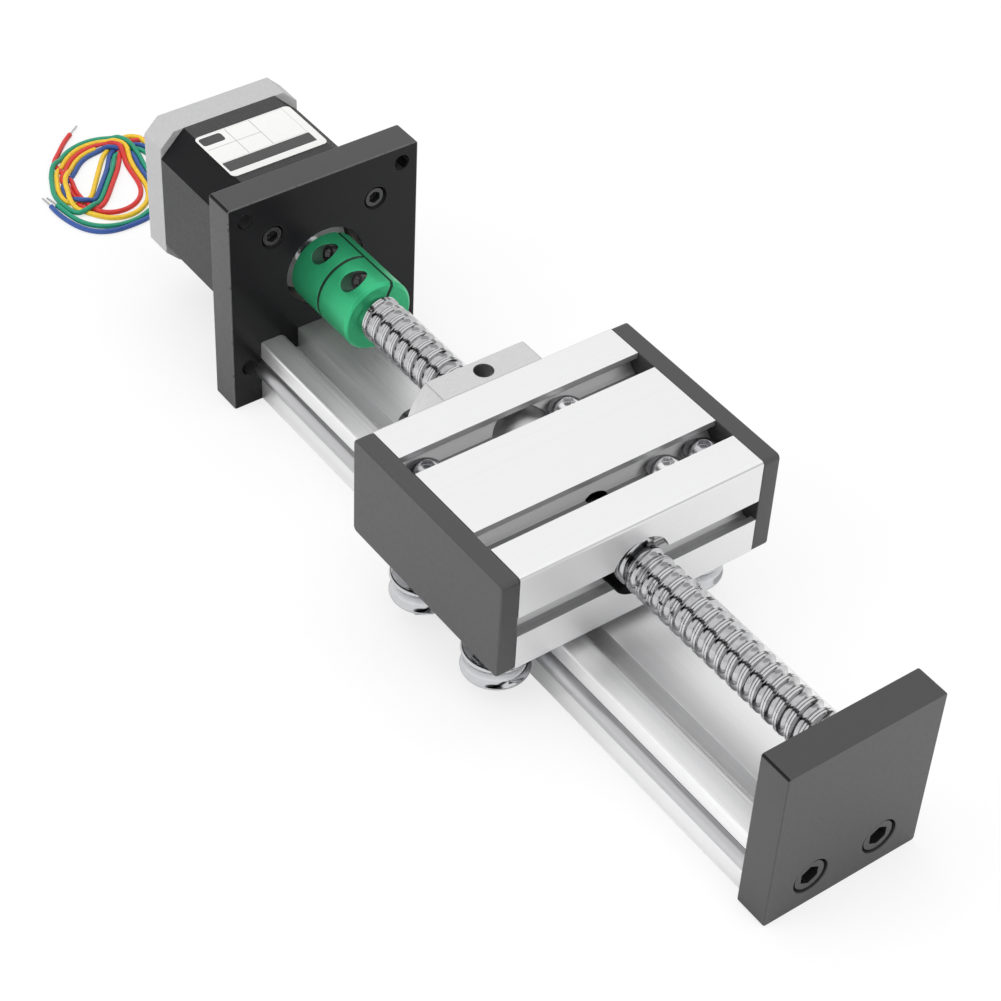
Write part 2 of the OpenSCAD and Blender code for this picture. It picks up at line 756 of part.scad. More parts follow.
module carriage_block() {
    color("whitesmoke")
    difference() {
        translate([carriage_x, 0, axis_z]) along_y(carriage_len) block_profile();
        bar_x([block_back - cut_more, 0, axis_z], nut_d + 2 * nut_fit,
              nut_body_len + cut_more);
        bar_x([block_back, 0, axis_z], screw_hole_d, carriage_w + cut_more);
        // the bolts pass right through, the eccentric screws end in the block
        at_fixed() bar_z([0, 0, block_bottom - cut_more], axle_d, carriage_h + 2 * cut_more);
        at_eccentric() bar_z([0, 0, block_bottom - cut_more], axle_d,
                             slot_depth + thread_hold + cut_more);
        for (a = nut_screw_angles) rotate_nut(a)
            bar_x([block_back - cut_more, 0, 0], nut_screw_d, nut_screw_hold + cut_more);
    }
}

module end_cap(side) {
    color("#2e2e2e")
    translate([carriage_x, side * (carriage_len + cap_t) / 2, axis_z]) {
        along_y(cap_t) rounded_rect(carriage_w, carriage_h, cap_r);
        translate([0, -side * (cap_t + cap_plug_len) / 2, 0]) along_y(cap_plug_len)
            square([block_chamber_w - 2 * cap_plug_gap, block_chamber_h - 2 * cap_plug_gap],
                   center = true);
    }
}
module end_cap_left() { end_cap(-1); }
module end_cap_right() { end_cap(1); }

module rotate_nut(a) {
    translate([0, 0, axis_z]) rotate([a, 0, 0]) translate([0, nut_pcd / 2, 0]) children();
}

module ball_nut() {
    color("lightgray")
    difference() {
        union() {
            intersection() {
                bar_x([block_back - nut_flange_t, 0, axis_z], nut_flange_d, nut_flange_t);
                translate([block_back - nut_flange_t - cut_more, -nut_flange_d,
                           axis_z - nut_flats / 2])
                    cube([nut_flange_t + 2 * cut_more, 2 * nut_flange_d, nut_flats]);
            }
            bar_x([block_back, 0, axis_z], nut_d, nut_body_len);
        }
        bar_x([block_back - nut_flange_t - cut_more, 0, axis_z], nut_bore_d,
              nut_flange_t + nut_body_len + 2 * cut_more);
        bar_x([block_back - nut_flange_t - cut_more, 0, axis_z], wiper_d, wiper_t + cut_more);
        bar_x([nut_end - wiper_t, 0, axis_z], wiper_d, wiper_t + cut_more);
        for (a = nut_hole_angles) rotate_nut(a)
            bar_x([block_back - nut_flange_t - cut_more, 0, 0], nut_screw_d,
                  nut_flange_t + 2 * cut_more);
        // lubrication hole in the upper flat, and the passage where the balls run back
        bar_z([block_back - nut_flange_t / 2, 0, axis_z + nut_bore_d / 2 - cut_more],
              oil_hole_d, nut_flats);
        translate([0, 0, axis_z]) rotate([-60, 0, 0]) bar_x([block_back, return_r, 0],
              nut_ball_d + 2 * return_gap, nut_body_len - wiper_t - 1);
    }
}

module nut_screws() {
    color("dimgray") for (a = nut_screw_angles) rotate_nut(a)
        cap_screw_x([block_back - nut_flange_t, 0, 0], 1, nut_screw_d,
                    nut_head_d, nut_head_h, nut_flange_t + nut_screw_hold);
}

module nut_wiper(x) {
    difference() {
        bar_x([x, 0, axis_z], wiper_d, wiper_t);
        bar_x([x - cut_more, 0, axis_z], screw_d + 2 * run_gap, wiper_t + 2 * cut_more);
    }
}
module nut_wipers() {
    color("white") {
        nut_wiper(block_back - nut_flange_t);
        nut_wiper(nut_end - wiper_t);
    }
}

module nut_balls() {
    color("silver") translate([0, 0, axis_z]) rotate([-60, 0, 0])
        for (k = [0:return_balls - 1])
            translate([block_back + nut_ball_d * (k + 0.55) * 1.02, return_r, 0])
                sphere(d = nut_ball_d, $fn = 32);
}

// ---------------------------------------------------------------- roller axles
axle_seat = slot_floor + washer_h;
ring_top = roller_top + ring_proud;
ring_bottom = roller_bottom - ring_proud;

// Domed head with a hex socket; its underside is at z
module button_head(z) {
    dome = button_d * 0.62;
    difference() {
        intersection() {
            translate([0, 0, z]) cylinder(d = button_d, h = button_h);
            translate([0, 0, z + button_h - dome]) sphere(dome);
        }
        hex_z([0, 0, z + button_h - 1.6], 3, 2);
    }
}

module fixed_axle_bolts() {
    color("gainsboro") at_fixed() {
        button_head(axle_seat);
        bar_z([0, 0, ring_bottom - axle_nut_h - 0.6], axle_d,
              axle_seat - ring_bottom + axle_nut_h + 0.6);
    }
}

module tube_z(z, d_out, d_in, l) {
    difference() {
        bar_z([0, 0, z], d_out, l);
        bar_z([0, 0, z - cut_more], d_in, l + 2 * cut_more);
    }
}

module fixed_axle_washers() {
    color("gainsboro") at_fixed() intersection() {
        tube_z(slot_floor, washer_d, axle_d, washer_h);
        translate([-(slot_inner / 2 - slot_taper), -washer_d, slot_floor - cut_more])
            cube([slot_inner - 2 * slot_taper, 2 * washer_d, washer_h + 2 * cut_more]);
    }
}

module fixed_axle_spacers() {
    color("silver") at_fixed() tube_z(ring_top, spacer_d, axle_d, block_bottom - ring_top);
}

module fixed_axle_nuts() {
    color("silver") at_fixed() difference() {
        hex_z([0, 0, ring_bottom - axle_nut_h], axle_nut_af, axle_nut_h);
        bar_z([0, 0, ring_bottom - axle_nut_h - cut_more], axle_d, axle_nut_h + 2 * cut_more);
    }
}

// Screwed up from below into the block, through the eccentric bush and the roller
module eccentric_axle_screws() {
    color("gray") at_eccentric() difference() {
        union() {
            bar_z([0, 0, ring_bottom - axle_head_h], axle_head_d, axle_head_h);
            bar_z([0, 0, ring_bottom], axle_d,
                  block_bottom + slot_depth + thread_hold - ring_bottom);
        }
        hex_z([0, 0, ring_bottom - axle_head_h - cut_more], 4, 2 + cut_more);
    }
}

module eccentric_bushes() {
    color("silver") at_eccentric() difference() {
        union() {
            hex_z([0, 0, block_bottom - bush_collar], bush_af, bush_collar);
            bar_z([0, 0, ring_top], spacer_d, block_bottom - ring_top);
        }
        bar_z([0, 0, ring_top - cut_more], axle_d, block_bottom - ring_top + 2 * cut_more);
    }
}

// Two screws wait in the T-slots with their nuts, ready to hold a load
module at_slot_screws() {
    translate([carriage_x + slot_x, slot_screw_y[0], 0]) children();
    translate([carriage_x - slot_x, slot_screw_y[1], 0]) children();
}
module slot_screws() {
    color("gainsboro") at_slot_screws() {
        button_head(axle_seat);
        bar_z([0, 0, slot_floor], 5, washer_h);
    }
}
module slot_nuts() {
    color("gray") at_slot_screws() difference() {
        translate([-(slot_inner / 2 - slot_taper), -slot_nut_l / 2, slot_floor])
            cube([slot_inner - 2 * slot_taper, slot_nut_l, washer_h]);
        bar_z([0, 0, slot_floor - cut_more], 5, washer_h + 2 * cut_more);
    }
}

// ---------------------------------------------------------------- rollers
module roller_rings() {
    color("silver") for (x = [-1, 1], y = [-1, 1]) at_axle(x, y)
        translate([0, 0, ring_bottom]) rotate_extrude() difference() {
            translate([axle_d / 2, 0])
                square([(ring_d - axle_d) / 2, roller_w + 2 * ring_proud]);
            translate([race_pitch_r, roller_w / 2 + ring_proud])
                circle(d = race_ball_d + 2 * run_gap, $fn = 32);
        }
}

module roller_balls() {
    color("gray") for (x = [-1, 1], y = [-1, 1]) at_axle(x, y) for (k = [0:7])
        rotate(k * 45) translate([race_pitch_r, 0, rod_z]) sphere(d = race_ball_d, $fn = 32);
}

module roller(x, y) {
    edge = 0.8;
    r = roller_d / 2;
    color("gainsboro") at_axle(x, y) translate([0, 0, rod_z]) rotate_extrude() difference() {
        union() {
            translate([roller_bore_r, -roller_w / 2]) square([r - edge - roller_bore_r, roller_w]);
            translate([roller_bore_r, -roller_w / 2 + edge])
                square([r - roller_bore_r, roller_w - 2 * edge]);
            for (z = [-1, 1]) translate([r - edge, z * (roller_w / 2 - edge)]) circle(edge);
            for (z = [-1, 1]) translate([shield_r, z * (roller_w / 2 - shield_t) - shield_t / 2])
                square([roller_bore_r - shield_r + 0.2, shield_t]);
        }
        translate([roller_offset, 0]) circle(groove_r);
        translate([race_pitch_r, 0]) circle(d = race_ball_d + 2 * run_gap, $fn = 32);
    }
}

// ---------------------------------------------------------------- leads
module lead_grommet() {
    color("#222222")
    translate([lead_exit_x - grommet_w / 2, -grommet_l / 2, lead_exit_z])
        cube([grommet_w, grommet_l, grommet_h]);
}

module swept(path, r) {
    n = len(path);
    points = [for (i = [0:n - 1]) each
        ring_points(path[i], heading(path, i) / norm(heading(path, i)), sideways(path, i), r)];
    sides = [for (i = [0:n - 2], k = [0:lead_sides - 1])
        let (a = i * lead_sides + k, b = i * lead_sides + (k + 1) % lead_sides)
        [a, a + lead_sides, b + lead_sides, b]];
    first = [for (k = [0:lead_sides - 1]) k];
    last = [for (k = [lead_sides - 1:-1:0]) (n - 1) * lead_sides + k];
    polyhedron(points, concat(sides, [first], [last]), convexity = 6);
}

module at_exit() { translate([lead_exit_x, 0, 0]) children(); }

module lead(i) {
    route = shifted(lead_route, (i - 1.5) * lead_pitch);
    join = lead_joins[i];
    at_exit() swept([for (k = [0:join[0]]) k < join[0] ? route[k] : join[1]], lead_d / 2);
}

module lead_red() {
    color("red") {
        lead(0);
        at_exit() swept(red_tail, lead_d / 2);
    }
}
module lead_yellow() { color("gold") lead(1); }
module lead_blue() { color("royalblue") lead(2); }
module lead_green() { color("seagreen") lead(3); }
module lead_coil() {
    color("gold") at_exit() translate(lead_coil_at) rotate_extrude()
        translate([lead_coil_r - lead_coil_w, 0]) square([lead_coil_w, lead_coil_h]);
}

rail();
rod(-1);  // rod_left
rod(1);  // rod_right
motor_plate();
end_plate();
end_plate_screws();
motor_plate_screws();
motor_mount_screws();
motor_front_bell();
motor_stator();
motor_coils();
motor_rear_bell();
motor_tie_screws();
motor_label();
front_bearing_outer();
rear_bearing_outer();
end_bearing_outer();
bearing_balls();
rear_bearing_washer();
lead_grommet();
lead_red();
lead_yellow();
lead_green();
lead_blue();
lead_coil();
ball_screw();
coupling();
coupling_screws();
motor_shaft();
rotor_cup_front();
rotor_magnet();
rotor_cup_rear();
front_bearing_inner();
rear_bearing_inner();
end_bearing_inner();
carriage_block();
end_cap_left();
end_cap_right();
ball_nut();
nut_screws();
nut_wipers();
nut_balls();
fixed_axle_bolts();
fixed_axle_washers();
fixed_axle_spacers();
fixed_axle_nuts();
eccentric_axle_screws();
eccentric_bushes();
slot_screws();
slot_nuts();
roller_rings();
roller_balls();
roller(1, -1);  // roller_front_left
roller(1, 1);  // roller_front_right
roller(-1, -1);  // roller_rear_left
roller(-1, 1);  // roller_rear_right
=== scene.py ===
# %% [markdown]
# # A ball screw linear module
# This object moves a carriage along an aluminium rail. A stepper motor turns a ball screw, the screw pushes
# the nut, and the nut carries the carriage on four grooved rollers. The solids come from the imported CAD
# model. This notebook gives them their finish: rounded edges, real threads, soft leads, and materials.

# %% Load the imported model
import json
import math

import bmesh
import bpy
import numpy as np
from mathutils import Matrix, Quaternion, Vector

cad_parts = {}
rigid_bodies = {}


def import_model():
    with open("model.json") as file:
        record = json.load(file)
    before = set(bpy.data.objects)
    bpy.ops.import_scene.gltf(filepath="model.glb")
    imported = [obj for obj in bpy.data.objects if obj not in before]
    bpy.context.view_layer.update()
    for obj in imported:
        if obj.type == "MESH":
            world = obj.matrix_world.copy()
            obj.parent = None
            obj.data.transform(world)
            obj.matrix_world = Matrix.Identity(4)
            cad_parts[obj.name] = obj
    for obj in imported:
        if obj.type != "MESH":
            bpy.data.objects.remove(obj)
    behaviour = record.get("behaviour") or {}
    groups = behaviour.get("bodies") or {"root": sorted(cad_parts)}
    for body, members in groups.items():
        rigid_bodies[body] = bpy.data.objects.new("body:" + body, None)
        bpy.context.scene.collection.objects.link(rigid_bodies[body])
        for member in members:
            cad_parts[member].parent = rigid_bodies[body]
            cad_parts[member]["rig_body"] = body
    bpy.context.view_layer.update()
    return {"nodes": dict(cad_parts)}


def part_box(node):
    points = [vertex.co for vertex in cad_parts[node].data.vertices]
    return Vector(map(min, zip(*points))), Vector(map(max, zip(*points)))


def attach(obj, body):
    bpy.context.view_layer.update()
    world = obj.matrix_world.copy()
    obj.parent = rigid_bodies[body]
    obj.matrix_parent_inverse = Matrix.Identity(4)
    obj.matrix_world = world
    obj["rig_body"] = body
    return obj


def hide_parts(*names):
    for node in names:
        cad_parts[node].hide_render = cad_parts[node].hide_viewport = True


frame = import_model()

MM = 0.001
solids = frame["nodes"]

# %% [markdown]
# ## The camera
# A small machine part looks right through a long lens from above one corner. The camera points at the middle
# of the carriage, and a small roll about its own line of sight levels the picture. `to_track_quat` turns a
# direction into a rotation, so no angle has to be worked out by hand.

# %% Camera
CAMERA_PLACE = Vector((0.34380, -0.28536, 0.44441))
CAMERA_AIM = Vector((-0.00256, -0.01418, 0.036))
CAMERA_ROLL = math.radians(3.297)

lens = bpy.data.cameras.new("camera")
lens.lens = 91.944
lens.sensor_width = 36.0
camera = bpy.data.objects.new("camera", lens)
camera.location = CAMERA_PLACE
look = (CAMERA_AIM - CAMERA_PLACE).to_track_quat("-Z", "Y")
camera.rotation_mode = "QUATERNION"
camera.rotation_quaternion = look @ Quaternion((0, 0, 1), CAMERA_ROLL)
bpy.context.scene.collection.objects.link(camera)
bpy.context.scene.camera = camera
print("camera", round((CAMERA_AIM - CAMERA_PLACE).length, 3), "m from the carriage")

# %% [markdown]
# ## The motor's leads
# Four thin leads leave a grommet under the motor, bend to the table and lie there in a loose, tangled loop.
# A lead is a fixed length of limp wire, so each is drawn as a list of places on the table that it passes.
# The lists are in millimetres, seen from above, in the model's own frame.

# %% The leads' places on the table
LEAD_D = 1.5
LEAD_Z = 0.8
EXIT_X = -149.5
DROP = [(0, 13.95), (0, 9.5), (-1.1, 5.4), (-3.9, 2.4), (-7.9, 1.0)]
LEAD_Y = {"lead_red": 2.625, "lead_yellow": 0.875, "lead_blue": -0.875, "lead_green": -2.625}
LEAD_RUNS = {
    "lead_red": [
        (-162, 2.6), (-167, 3), (-172, 4.2), (-177, 6.1), (-182, 8.4), (-187, 10.8), (-192.3, 12.6),
        (-199, 14.2), (-207, 15), (-214, 14.8), (-219.4, 12.6), (-221, 8.2), (-218.2, 4.2), (-212.6, 0.4),
        (-203.4, -7.4), (-196.6, -13.8), (-194.6, -16.8), (-196, -19.8), (-200, -20.6), (-206, -19.6),
        (-212.7, -17.4), (-217.6, -13.6), (-221.4, -8), (-223.2, -1.5), (-222.2, 4), (-219, 5),
        (-215.4, 3), (-210, 1.6), (-203, 1), (-196.6, -0.6), (-192.2, -4.6), (-190.8, -10),
        (-192.2, -14.2), (-197, -16.6), (-203.5, -17.6), (-209, -17.4), (-213.5, -16.6), (-218.6, -15.4),
        (-223.4, -13.9), (-226, -12), (-228.4, -9.8), (-231, -7.1), (-232.6, -4.6)],
    "lead_yellow": [
        (-162, 0.9), (-167, 1.3), (-172, 2.5), (-177, 4.4), (-182, 6.8), (-187, 9.2), (-192, 11),
        (-199, 12.6), (-207, 13.4), (-214.5, 13.4), (-220.6, 12), (-223.8, 8.2), (-223, 3.8),
        (-219.5, -0.5), (-211.4, -6.8), (-205.6, -11.6), (-201, -15.4), (-198.2, -18.4), (-199, -21.6),
        (-202.6, -22.4), (-209, -20.8), (-215, -18.2), (-220.6, -14), (-224.6, -8.6), (-225.4, -3),
        (-224, 2.2), (-220.8, 5.6), (-216, 5.4), (-210.2, 3.4), (-204, 2.6), (-196, 1.2), (-190.6, -2.4),
        (-187.9, -8), (-188.7, -13.8), (-192.8, -17.6), (-200.6, -19.6), (-208, -19.2), (-214, -16.6),
        (-218.8, -12.2), (-221.6, -7), (-222.8, -2)],
    "lead_blue": [
        (-162, -0.9), (-167, -0.5), (-172, 0.7), (-177, 2.7), (-182, 5.1), (-187, 7.5), (-192, 9.3),
        (-199, 10.9), (-207, 11.6), (-213.5, 11.8), (-218.4, 10.6), (-219.6, 6.8), (-217.6, 2.2),
        (-213, -2), (-206.4, -8.3), (-199.4, -14.6), (-197, -17.6), (-198.2, -20.6), (-202.4, -21),
        (-208, -19.8), (-212.8, -17.4), (-216.8, -13.6), (-219.8, -8.4), (-220.6, -3), (-219.8, 2),
        (-217, 5.2), (-212.5, 5.6), (-207, 4.4), (-201, 3.8), (-194, 2.8), (-188.4, -0.4), (-184.9, -6),
        (-183.8, -13), (-184.6, -19.4), (-188.4, -23.4), (-194.6, -25.6), (-200, -26.6), (-204, -26.4)],
    "lead_green": [
        (-162, -2.6), (-167, -2.2), (-172, -1), (-177, 1), (-182, 3.5), (-186.9, 5.9), (-192, 7.6),
        (-199, 9.1), (-206, 9.9), (-212, 9.9), (-216.6, 8.4), (-217.2, 4.6), (-214.2, 0.8),
        (-204.5, -7.7), (-198, -14), (-194.8, -17.8), (-195.6, -21.4), (-199.4, -23.6), (-205.6, -23.2),
        (-212.2, -20.8), (-218.4, -17.2), (-223.2, -12.6), (-226.2, -7), (-226.6, -1), (-224.6, 4.6),
        (-220.4, 7.8), (-214.8, 7.6), (-208, 5.8), (-201, 5.2), (-193.6, 4), (-187.8, 0.4), (-185.4, -6),
        (-185.4, -12.6), (-187.4, -18.8), (-192.4, -23), (-198.4, -24.2), (-203.6, -23)],
}
print({name: len(run) + len(DROP) for name, run in LEAD_RUNS.items()}, "points")

# %% [markdown]
# A smooth curve through the points comes from the Catmull-Rom rule, which passes through every point with
# the slope of its two neighbours. The curve is then cut into even steps, because the next cell compares
# every bit of lead with every other bit, and even steps make that fair. Even a limp wire has a tightest
# bend. Where the line turns more sharply than that, only that part of it is smoothed until it fits.

# %% From places to a smooth line of even steps
STEP = 0.75
TIGHTEST = 2.9


def smooth_line(points, fine=24):
    p = np.array(points, dtype=float)
    p = np.vstack([2 * p[0] - p[1], p, 2 * p[-1] - p[-2]])
    t = np.linspace(0, 1, fine, endpoint=False)[:, None]
    spans = []
    for a, b, c, d in zip(p[:-3], p[1:-2], p[2:-1], p[3:]):
        spans.append(0.5 * (2 * b + (c - a) * t + (2 * a - 5 * b + 4 * c - d) * t ** 2
                            + (3 * b - a - 3 * c + d) * t ** 3))
    return np.vstack(spans + [p[-2:-1]])


def even_steps(line, step):
    run = np.r_[0, np.cumsum(np.linalg.norm(np.diff(line, axis=0), axis=1))]
    at = np.linspace(0, run[-1], int(round(run[-1] / step)) + 1)
    return np.column_stack([np.interp(at, run, line[:, k]) for k in range(3)])


def softened(line, rounds=30):
    for _ in range(rounds):
        line[1:-1] = (line[:-2] + 2 * line[1:-1] + line[2:]) / 4
    return line


def opened(line, radius, reach=3, rounds=900):
    for _ in range(rounds):
        into, out = line[reach:-reach] - line[:-2 * reach], line[2 * reach:] - line[reach:-reach]
        sizes = np.linalg.norm(into, axis=1) * np.linalg.norm(out, axis=1)
        turned = np.arccos(np.clip((into * out).sum(axis=1) / sizes, -1, 1))
        tight = np.flatnonzero(turned * radius > np.sqrt(sizes)) + reach
        if not len(tight):
            break
        spots = np.unique(tight[:, None] + np.arange(-2 * reach, 2 * reach + 1))
        spots = spots[(spots > 0) & (spots < len(line) - 1)]
        line[spots] = (line[spots - 1] + 2 * line[spots] + line[spots + 1]) / 4
    return line


lead_lines = {}
for name, run in LEAD_RUNS.items():
    drop = [(EXIT_X + dx, LEAD_Y[name], z) for dx, z in DROP]
    line = even_steps(smooth_line(drop + [(x, y, LEAD_Z) for x, y in run]), STEP)
    lead_lines[name] = even_steps(opened(softened(line), TIGHTEST), STEP)
print({name: round(len(line) * STEP) for name, line in lead_lines.items()}, "mm along each")

# %% [markdown]
# Laid out flat, the leads would run through each other. Real ones push each other aside or climb over each
# other. A small solver in the manner of rope games does this: every bit of lead starts above the table, the
# later ones higher, then all sink together. In each round, bits that are too near push each other apart,
# neighbours keep their distance, stiffness smooths the bends, and each bit is pulled gently back towards its
# own place. A tail that lies under the rest starts low. Blender's cloth or a rope add-on could do this too,
# but this is quick and gives the same result each time.

# %% Let the leads settle on the table and over each other
TOUCH = LEAD_D + 0.06
RISE_ALONG = 0.11
RISE_LEAD = 1.7
SINK = 0.12
ROUNDS = 420
HELD = 14
STRIDE = 3
BEND_STIFFNESS = 0.05
SMOOTHING = 0.1
HOME_PULL = 0.04
STRETCH = 0.25
NEAR = 3
TAIL_BLEND = 12
START_BLEND = 20
TAILS_UNDER = {"lead_red": 36, "lead_blue": 8, "lead_green": 8}


def settle(lines):
    names = list(lines)
    home = np.vstack([lines[n] for n in names])
    lead = np.concatenate([np.full(len(lines[n]), k) for k, n in enumerate(names)])
    along = np.concatenate([np.arange(len(lines[n])) * STEP for n in names])
    rise = RISE_ALONG * along + RISE_LEAD * lead
    for name, tail in TAILS_UNDER.items():
        mine = lead == names.index(name)
        rise[mine] *= np.clip((along[mine].max() - tail - along[mine]) / TAIL_BLEND, 0, 1)
    free = along > HELD * STEP
    rise *= np.clip((along - HELD * STEP) / START_BLEND, 0, 1)
    count = np.arange(len(home))
    next_one = count[:-1][lead[1:] == lead[:-1]]
    inner = count[1:-1][lead[2:] == lead[:-2]]
    bend = count[2 * STRIDE:-2 * STRIDE][lead[4 * STRIDE:] == lead[:-4 * STRIDE]]
    at = home.copy()
    at[:, 2] += rise
    for turn in range(ROUNDS):
        if turn % 4 == 0:
            off_x = at[:, None, 0] - at[None, :, 0]
            off_y = at[:, None, 1] - at[None, :, 1]
            near = off_x ** 2 + off_y ** 2 < NEAR ** 2
            apart = (lead[:, None] != lead[None, :]) | (abs(along[:, None] - along[None, :]) > 4 * LEAD_D)
            one, two = np.nonzero(np.triu(near & apart))
        at[free, 2] -= SINK
        at[bend] += BEND_STIFFNESS * (4 * at[bend - STRIDE] + 4 * at[bend + STRIDE] - 6 * at[bend]
                                      - at[bend - 2 * STRIDE] - at[bend + 2 * STRIDE])
        at[inner] += SMOOTHING * ((at[inner - 1] + at[inner + 1]) / 2 - at[inner])
        at[:, :2] += HOME_PULL * (home[:, :2] - at[:, :2])
        step = at[next_one + 1] - at[next_one]
        excess = step * (STRETCH * (1 - STEP / np.linalg.norm(step, axis=1)))[:, None]
        at[next_one] += excess
        at[next_one + 1] -= excess
        for _ in range(2):
            span = at[one] - at[two]
            gap = np.linalg.norm(span, axis=1)
            hit = gap < TOUCH
            push = span[hit] * (0.5 * (TOUCH / np.maximum(gap[hit], 0.05) - 1))[:, None]
            moved, times = np.zeros_like(at), np.zeros(len(at))
            for index, way in ((one[hit], push), (two[hit], -push)):
                np.add.at(moved, index, way)
                np.add.at(times, index, 1)
            at += moved / np.maximum(1, 0.6 * times)[:, None]
            at[:, 2] = np.maximum(at[:, 2], LEAD_D / 2)
        at[~free] = home[~free]
    return {n: opened(softened(at[lead == k], rounds=2), TIGHTEST) for k, n in enumerate(names)}


lead_lines = settle(lead_lines)
DROP_STEPS = 24
highest = max(line[DROP_STEPS:, 2].max() for line in lead_lines.values())
print("highest point on the table", round(highest, 1), "mm")

# %% [markdown]
# A curve object with a round bevel is the simplest wire: Blender sweeps the circle along it. The bevel is one
# metre deep and each point's radius brings it down to the wire's, so that the curve's box stays as small as
# the wire. Each lead ends in a few millimetres of tinned copper, where the insulation is stripped for a
# connector. The bare end is a thin curve of its own, which starts inside the insulation.

# %% Draw the leads
TIP_LEN = 5
TIP_D = 0.6
TIP_REACH = 6
TIP_CLEAR = 0.02
TIP_FALL = [0.1, 0.3]


def wire(name, line, diameter, sides=6):
    curve = bpy.data.curves.new(name, "CURVE")
    curve.dimensions = "3D"
    curve.bevel_depth = 1.0
    curve.bevel_resolution = sides
    curve.use_fill_caps = True
    spline = curve.splines.new("POLY")
    spline.points.add(len(line) - 1)
    for point, place in zip(spline.points, line):
        point.co = (*(place * MM), 1)
        point.radius = diameter / 2 * MM
    spline.use_smooth = True
    piece = bpy.data.objects.new(name, curve)
    bpy.context.scene.collection.objects.link(piece)
    return piece


leads = {}
lead_tips = {}
for name, line in lead_lines.items():
    leads[name] = wire(name + "_wire", line, LEAD_D)
    ahead = line[-1] - line[-1 - TIP_REACH]
    ahead[2] = 0
    ahead /= np.linalg.norm(ahead)
    tip = np.array([line[-1] - ahead, line[-1] + ahead * TIP_LEN / 2, line[-1] + ahead * TIP_LEN])
    tip[1:, 2] = np.maximum(TIP_D / 2 + TIP_CLEAR, tip[1:, 2] - TIP_FALL)
    lead_tips[name] = wire(name + "_tip", even_steps(smooth_line(tip), STEP), TIP_D)

for name, piece in leads.items():
    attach(piece, "base")
    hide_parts(name, *(["lead_coil"] if name == "lead_yellow" else []))
    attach(lead_tips[name], "base")
    line = lead_lines[name]

# %% [markdown]
# ## Light and table
# Metal shows what stands around it, so the room matters more than the lamps. The world is white for the
# camera and in reflections, like a light tent, apart from three darker round patches and a long dark gap
# from side to side. They draw the dark streak along the polished screw and shade the flat metal faces. For
# diffuse light the world is dimmer, and wide soft lamps add the rest. The lamps themselves don't show in
# reflections, so that metal shows the room and never burns out. Each ray finds the world by itself: sampled
# as a lamp, the world would bring its dim diffuse level into the reflections of the duller metals.

# %% The room around the object
WORLD_FILL = 0.45
PATCHES = [
    ((0.577, -0.452, 0.681), 20, 0.04),
    ((-0.577, 0.81, 0.02), 15, 0.30),
    ((0.25, 0.93, 0.27), 26, 0.55),
]
GAP_ACROSS = (0.073, 0.857, 0.510)
GAP_HALF = 8
GAP_LEVEL = 0.03
PATCH_BLUR = 4


def value_math(tree, kind, a, b=None):
    node = tree.nodes.new("ShaderNodeMath")
    node.operation = kind
    for socket, value in zip(node.inputs, (a, b)):
        if isinstance(value, (int, float)):
            socket.default_value = value
        elif value is not None:
            tree.links.new(value, socket)
    return node.outputs[0]


world = bpy.data.worlds.new("studio")
bpy.context.scene.world = world
world.use_nodes = True
world.cycles.sampling_method = "NONE"
tree = world.node_tree
tree.nodes.clear()
toward = tree.nodes.new("ShaderNodeTexCoord").outputs["Generated"]


def dimmed(light, direction, full, none, level):
    dot = tree.nodes.new("ShaderNodeVectorMath")
    dot.operation = "DOT_PRODUCT"
    tree.links.new(toward, dot.inputs[0])
    dot.inputs[1].default_value = Vector(direction).normalized()
    ramp = tree.nodes.new("ShaderNodeMapRange")
    ramp.interpolation_type = "SMOOTHSTEP"
    gap = full < none
    off = value_math(tree, "ABSOLUTE", dot.outputs["Value"]) if gap else dot.outputs["Value"]
    tree.links.new(off, ramp.inputs["Value"])
    ramp.inputs["From Min"].default_value = min(full, none)
    ramp.inputs["From Max"].default_value = max(full, none)
    ramp.inputs["To Min"].default_value = level if gap else 1.0
    ramp.inputs["To Max"].default_value = 1.0 if gap else level
    return value_math(tree, "MULTIPLY", ramp.outputs["Result"], light)


shine = dimmed(1.0, GAP_ACROSS, math.sin(math.radians(GAP_HALF - PATCH_BLUR)),
               math.sin(math.radians(GAP_HALF + PATCH_BLUR)), GAP_LEVEL)
for direction, half_angle, level in PATCHES:
    shine = dimmed(shine, direction, math.cos(math.radians(half_angle - PATCH_BLUR)),
                   math.cos(math.radians(half_angle + PATCH_BLUR)), level)
rays = tree.nodes.new("ShaderNodeLightPath")
room = tree.nodes.new("ShaderNodeBackground")
tree.links.new(shine, room.inputs["Strength"])
fill = tree.nodes.new("ShaderNodeBackground")
fill.inputs["Strength"].default_value = WORLD_FILL
paper = tree.nodes.new("ShaderNodeBackground")
for background in (room, fill, paper):
    background.inputs["Color"].default_value = (1, 1, 1, 1)
for kind, first, second in (("Is Glossy Ray", fill, room), ("Is Camera Ray", None, paper)):
    mix = tree.nodes.new("ShaderNodeMixShader")
    tree.links.new(rays.outputs[kind], mix.inputs["Fac"])
    tree.links.new(first.outputs[0] if first else last_mix.outputs[0], mix.inputs[1])
    tree.links.new(second.outputs[0], mix.inputs[2])
    last_mix = mix
out = tree.nodes.new("ShaderNodeOutputWorld")
tree.links.new(last_mix.outputs[0], out.inputs["Surface"])
print("world with", len(PATCHES), "darker patches and a dark gap", 2 * GAP_HALF, "degrees wide")

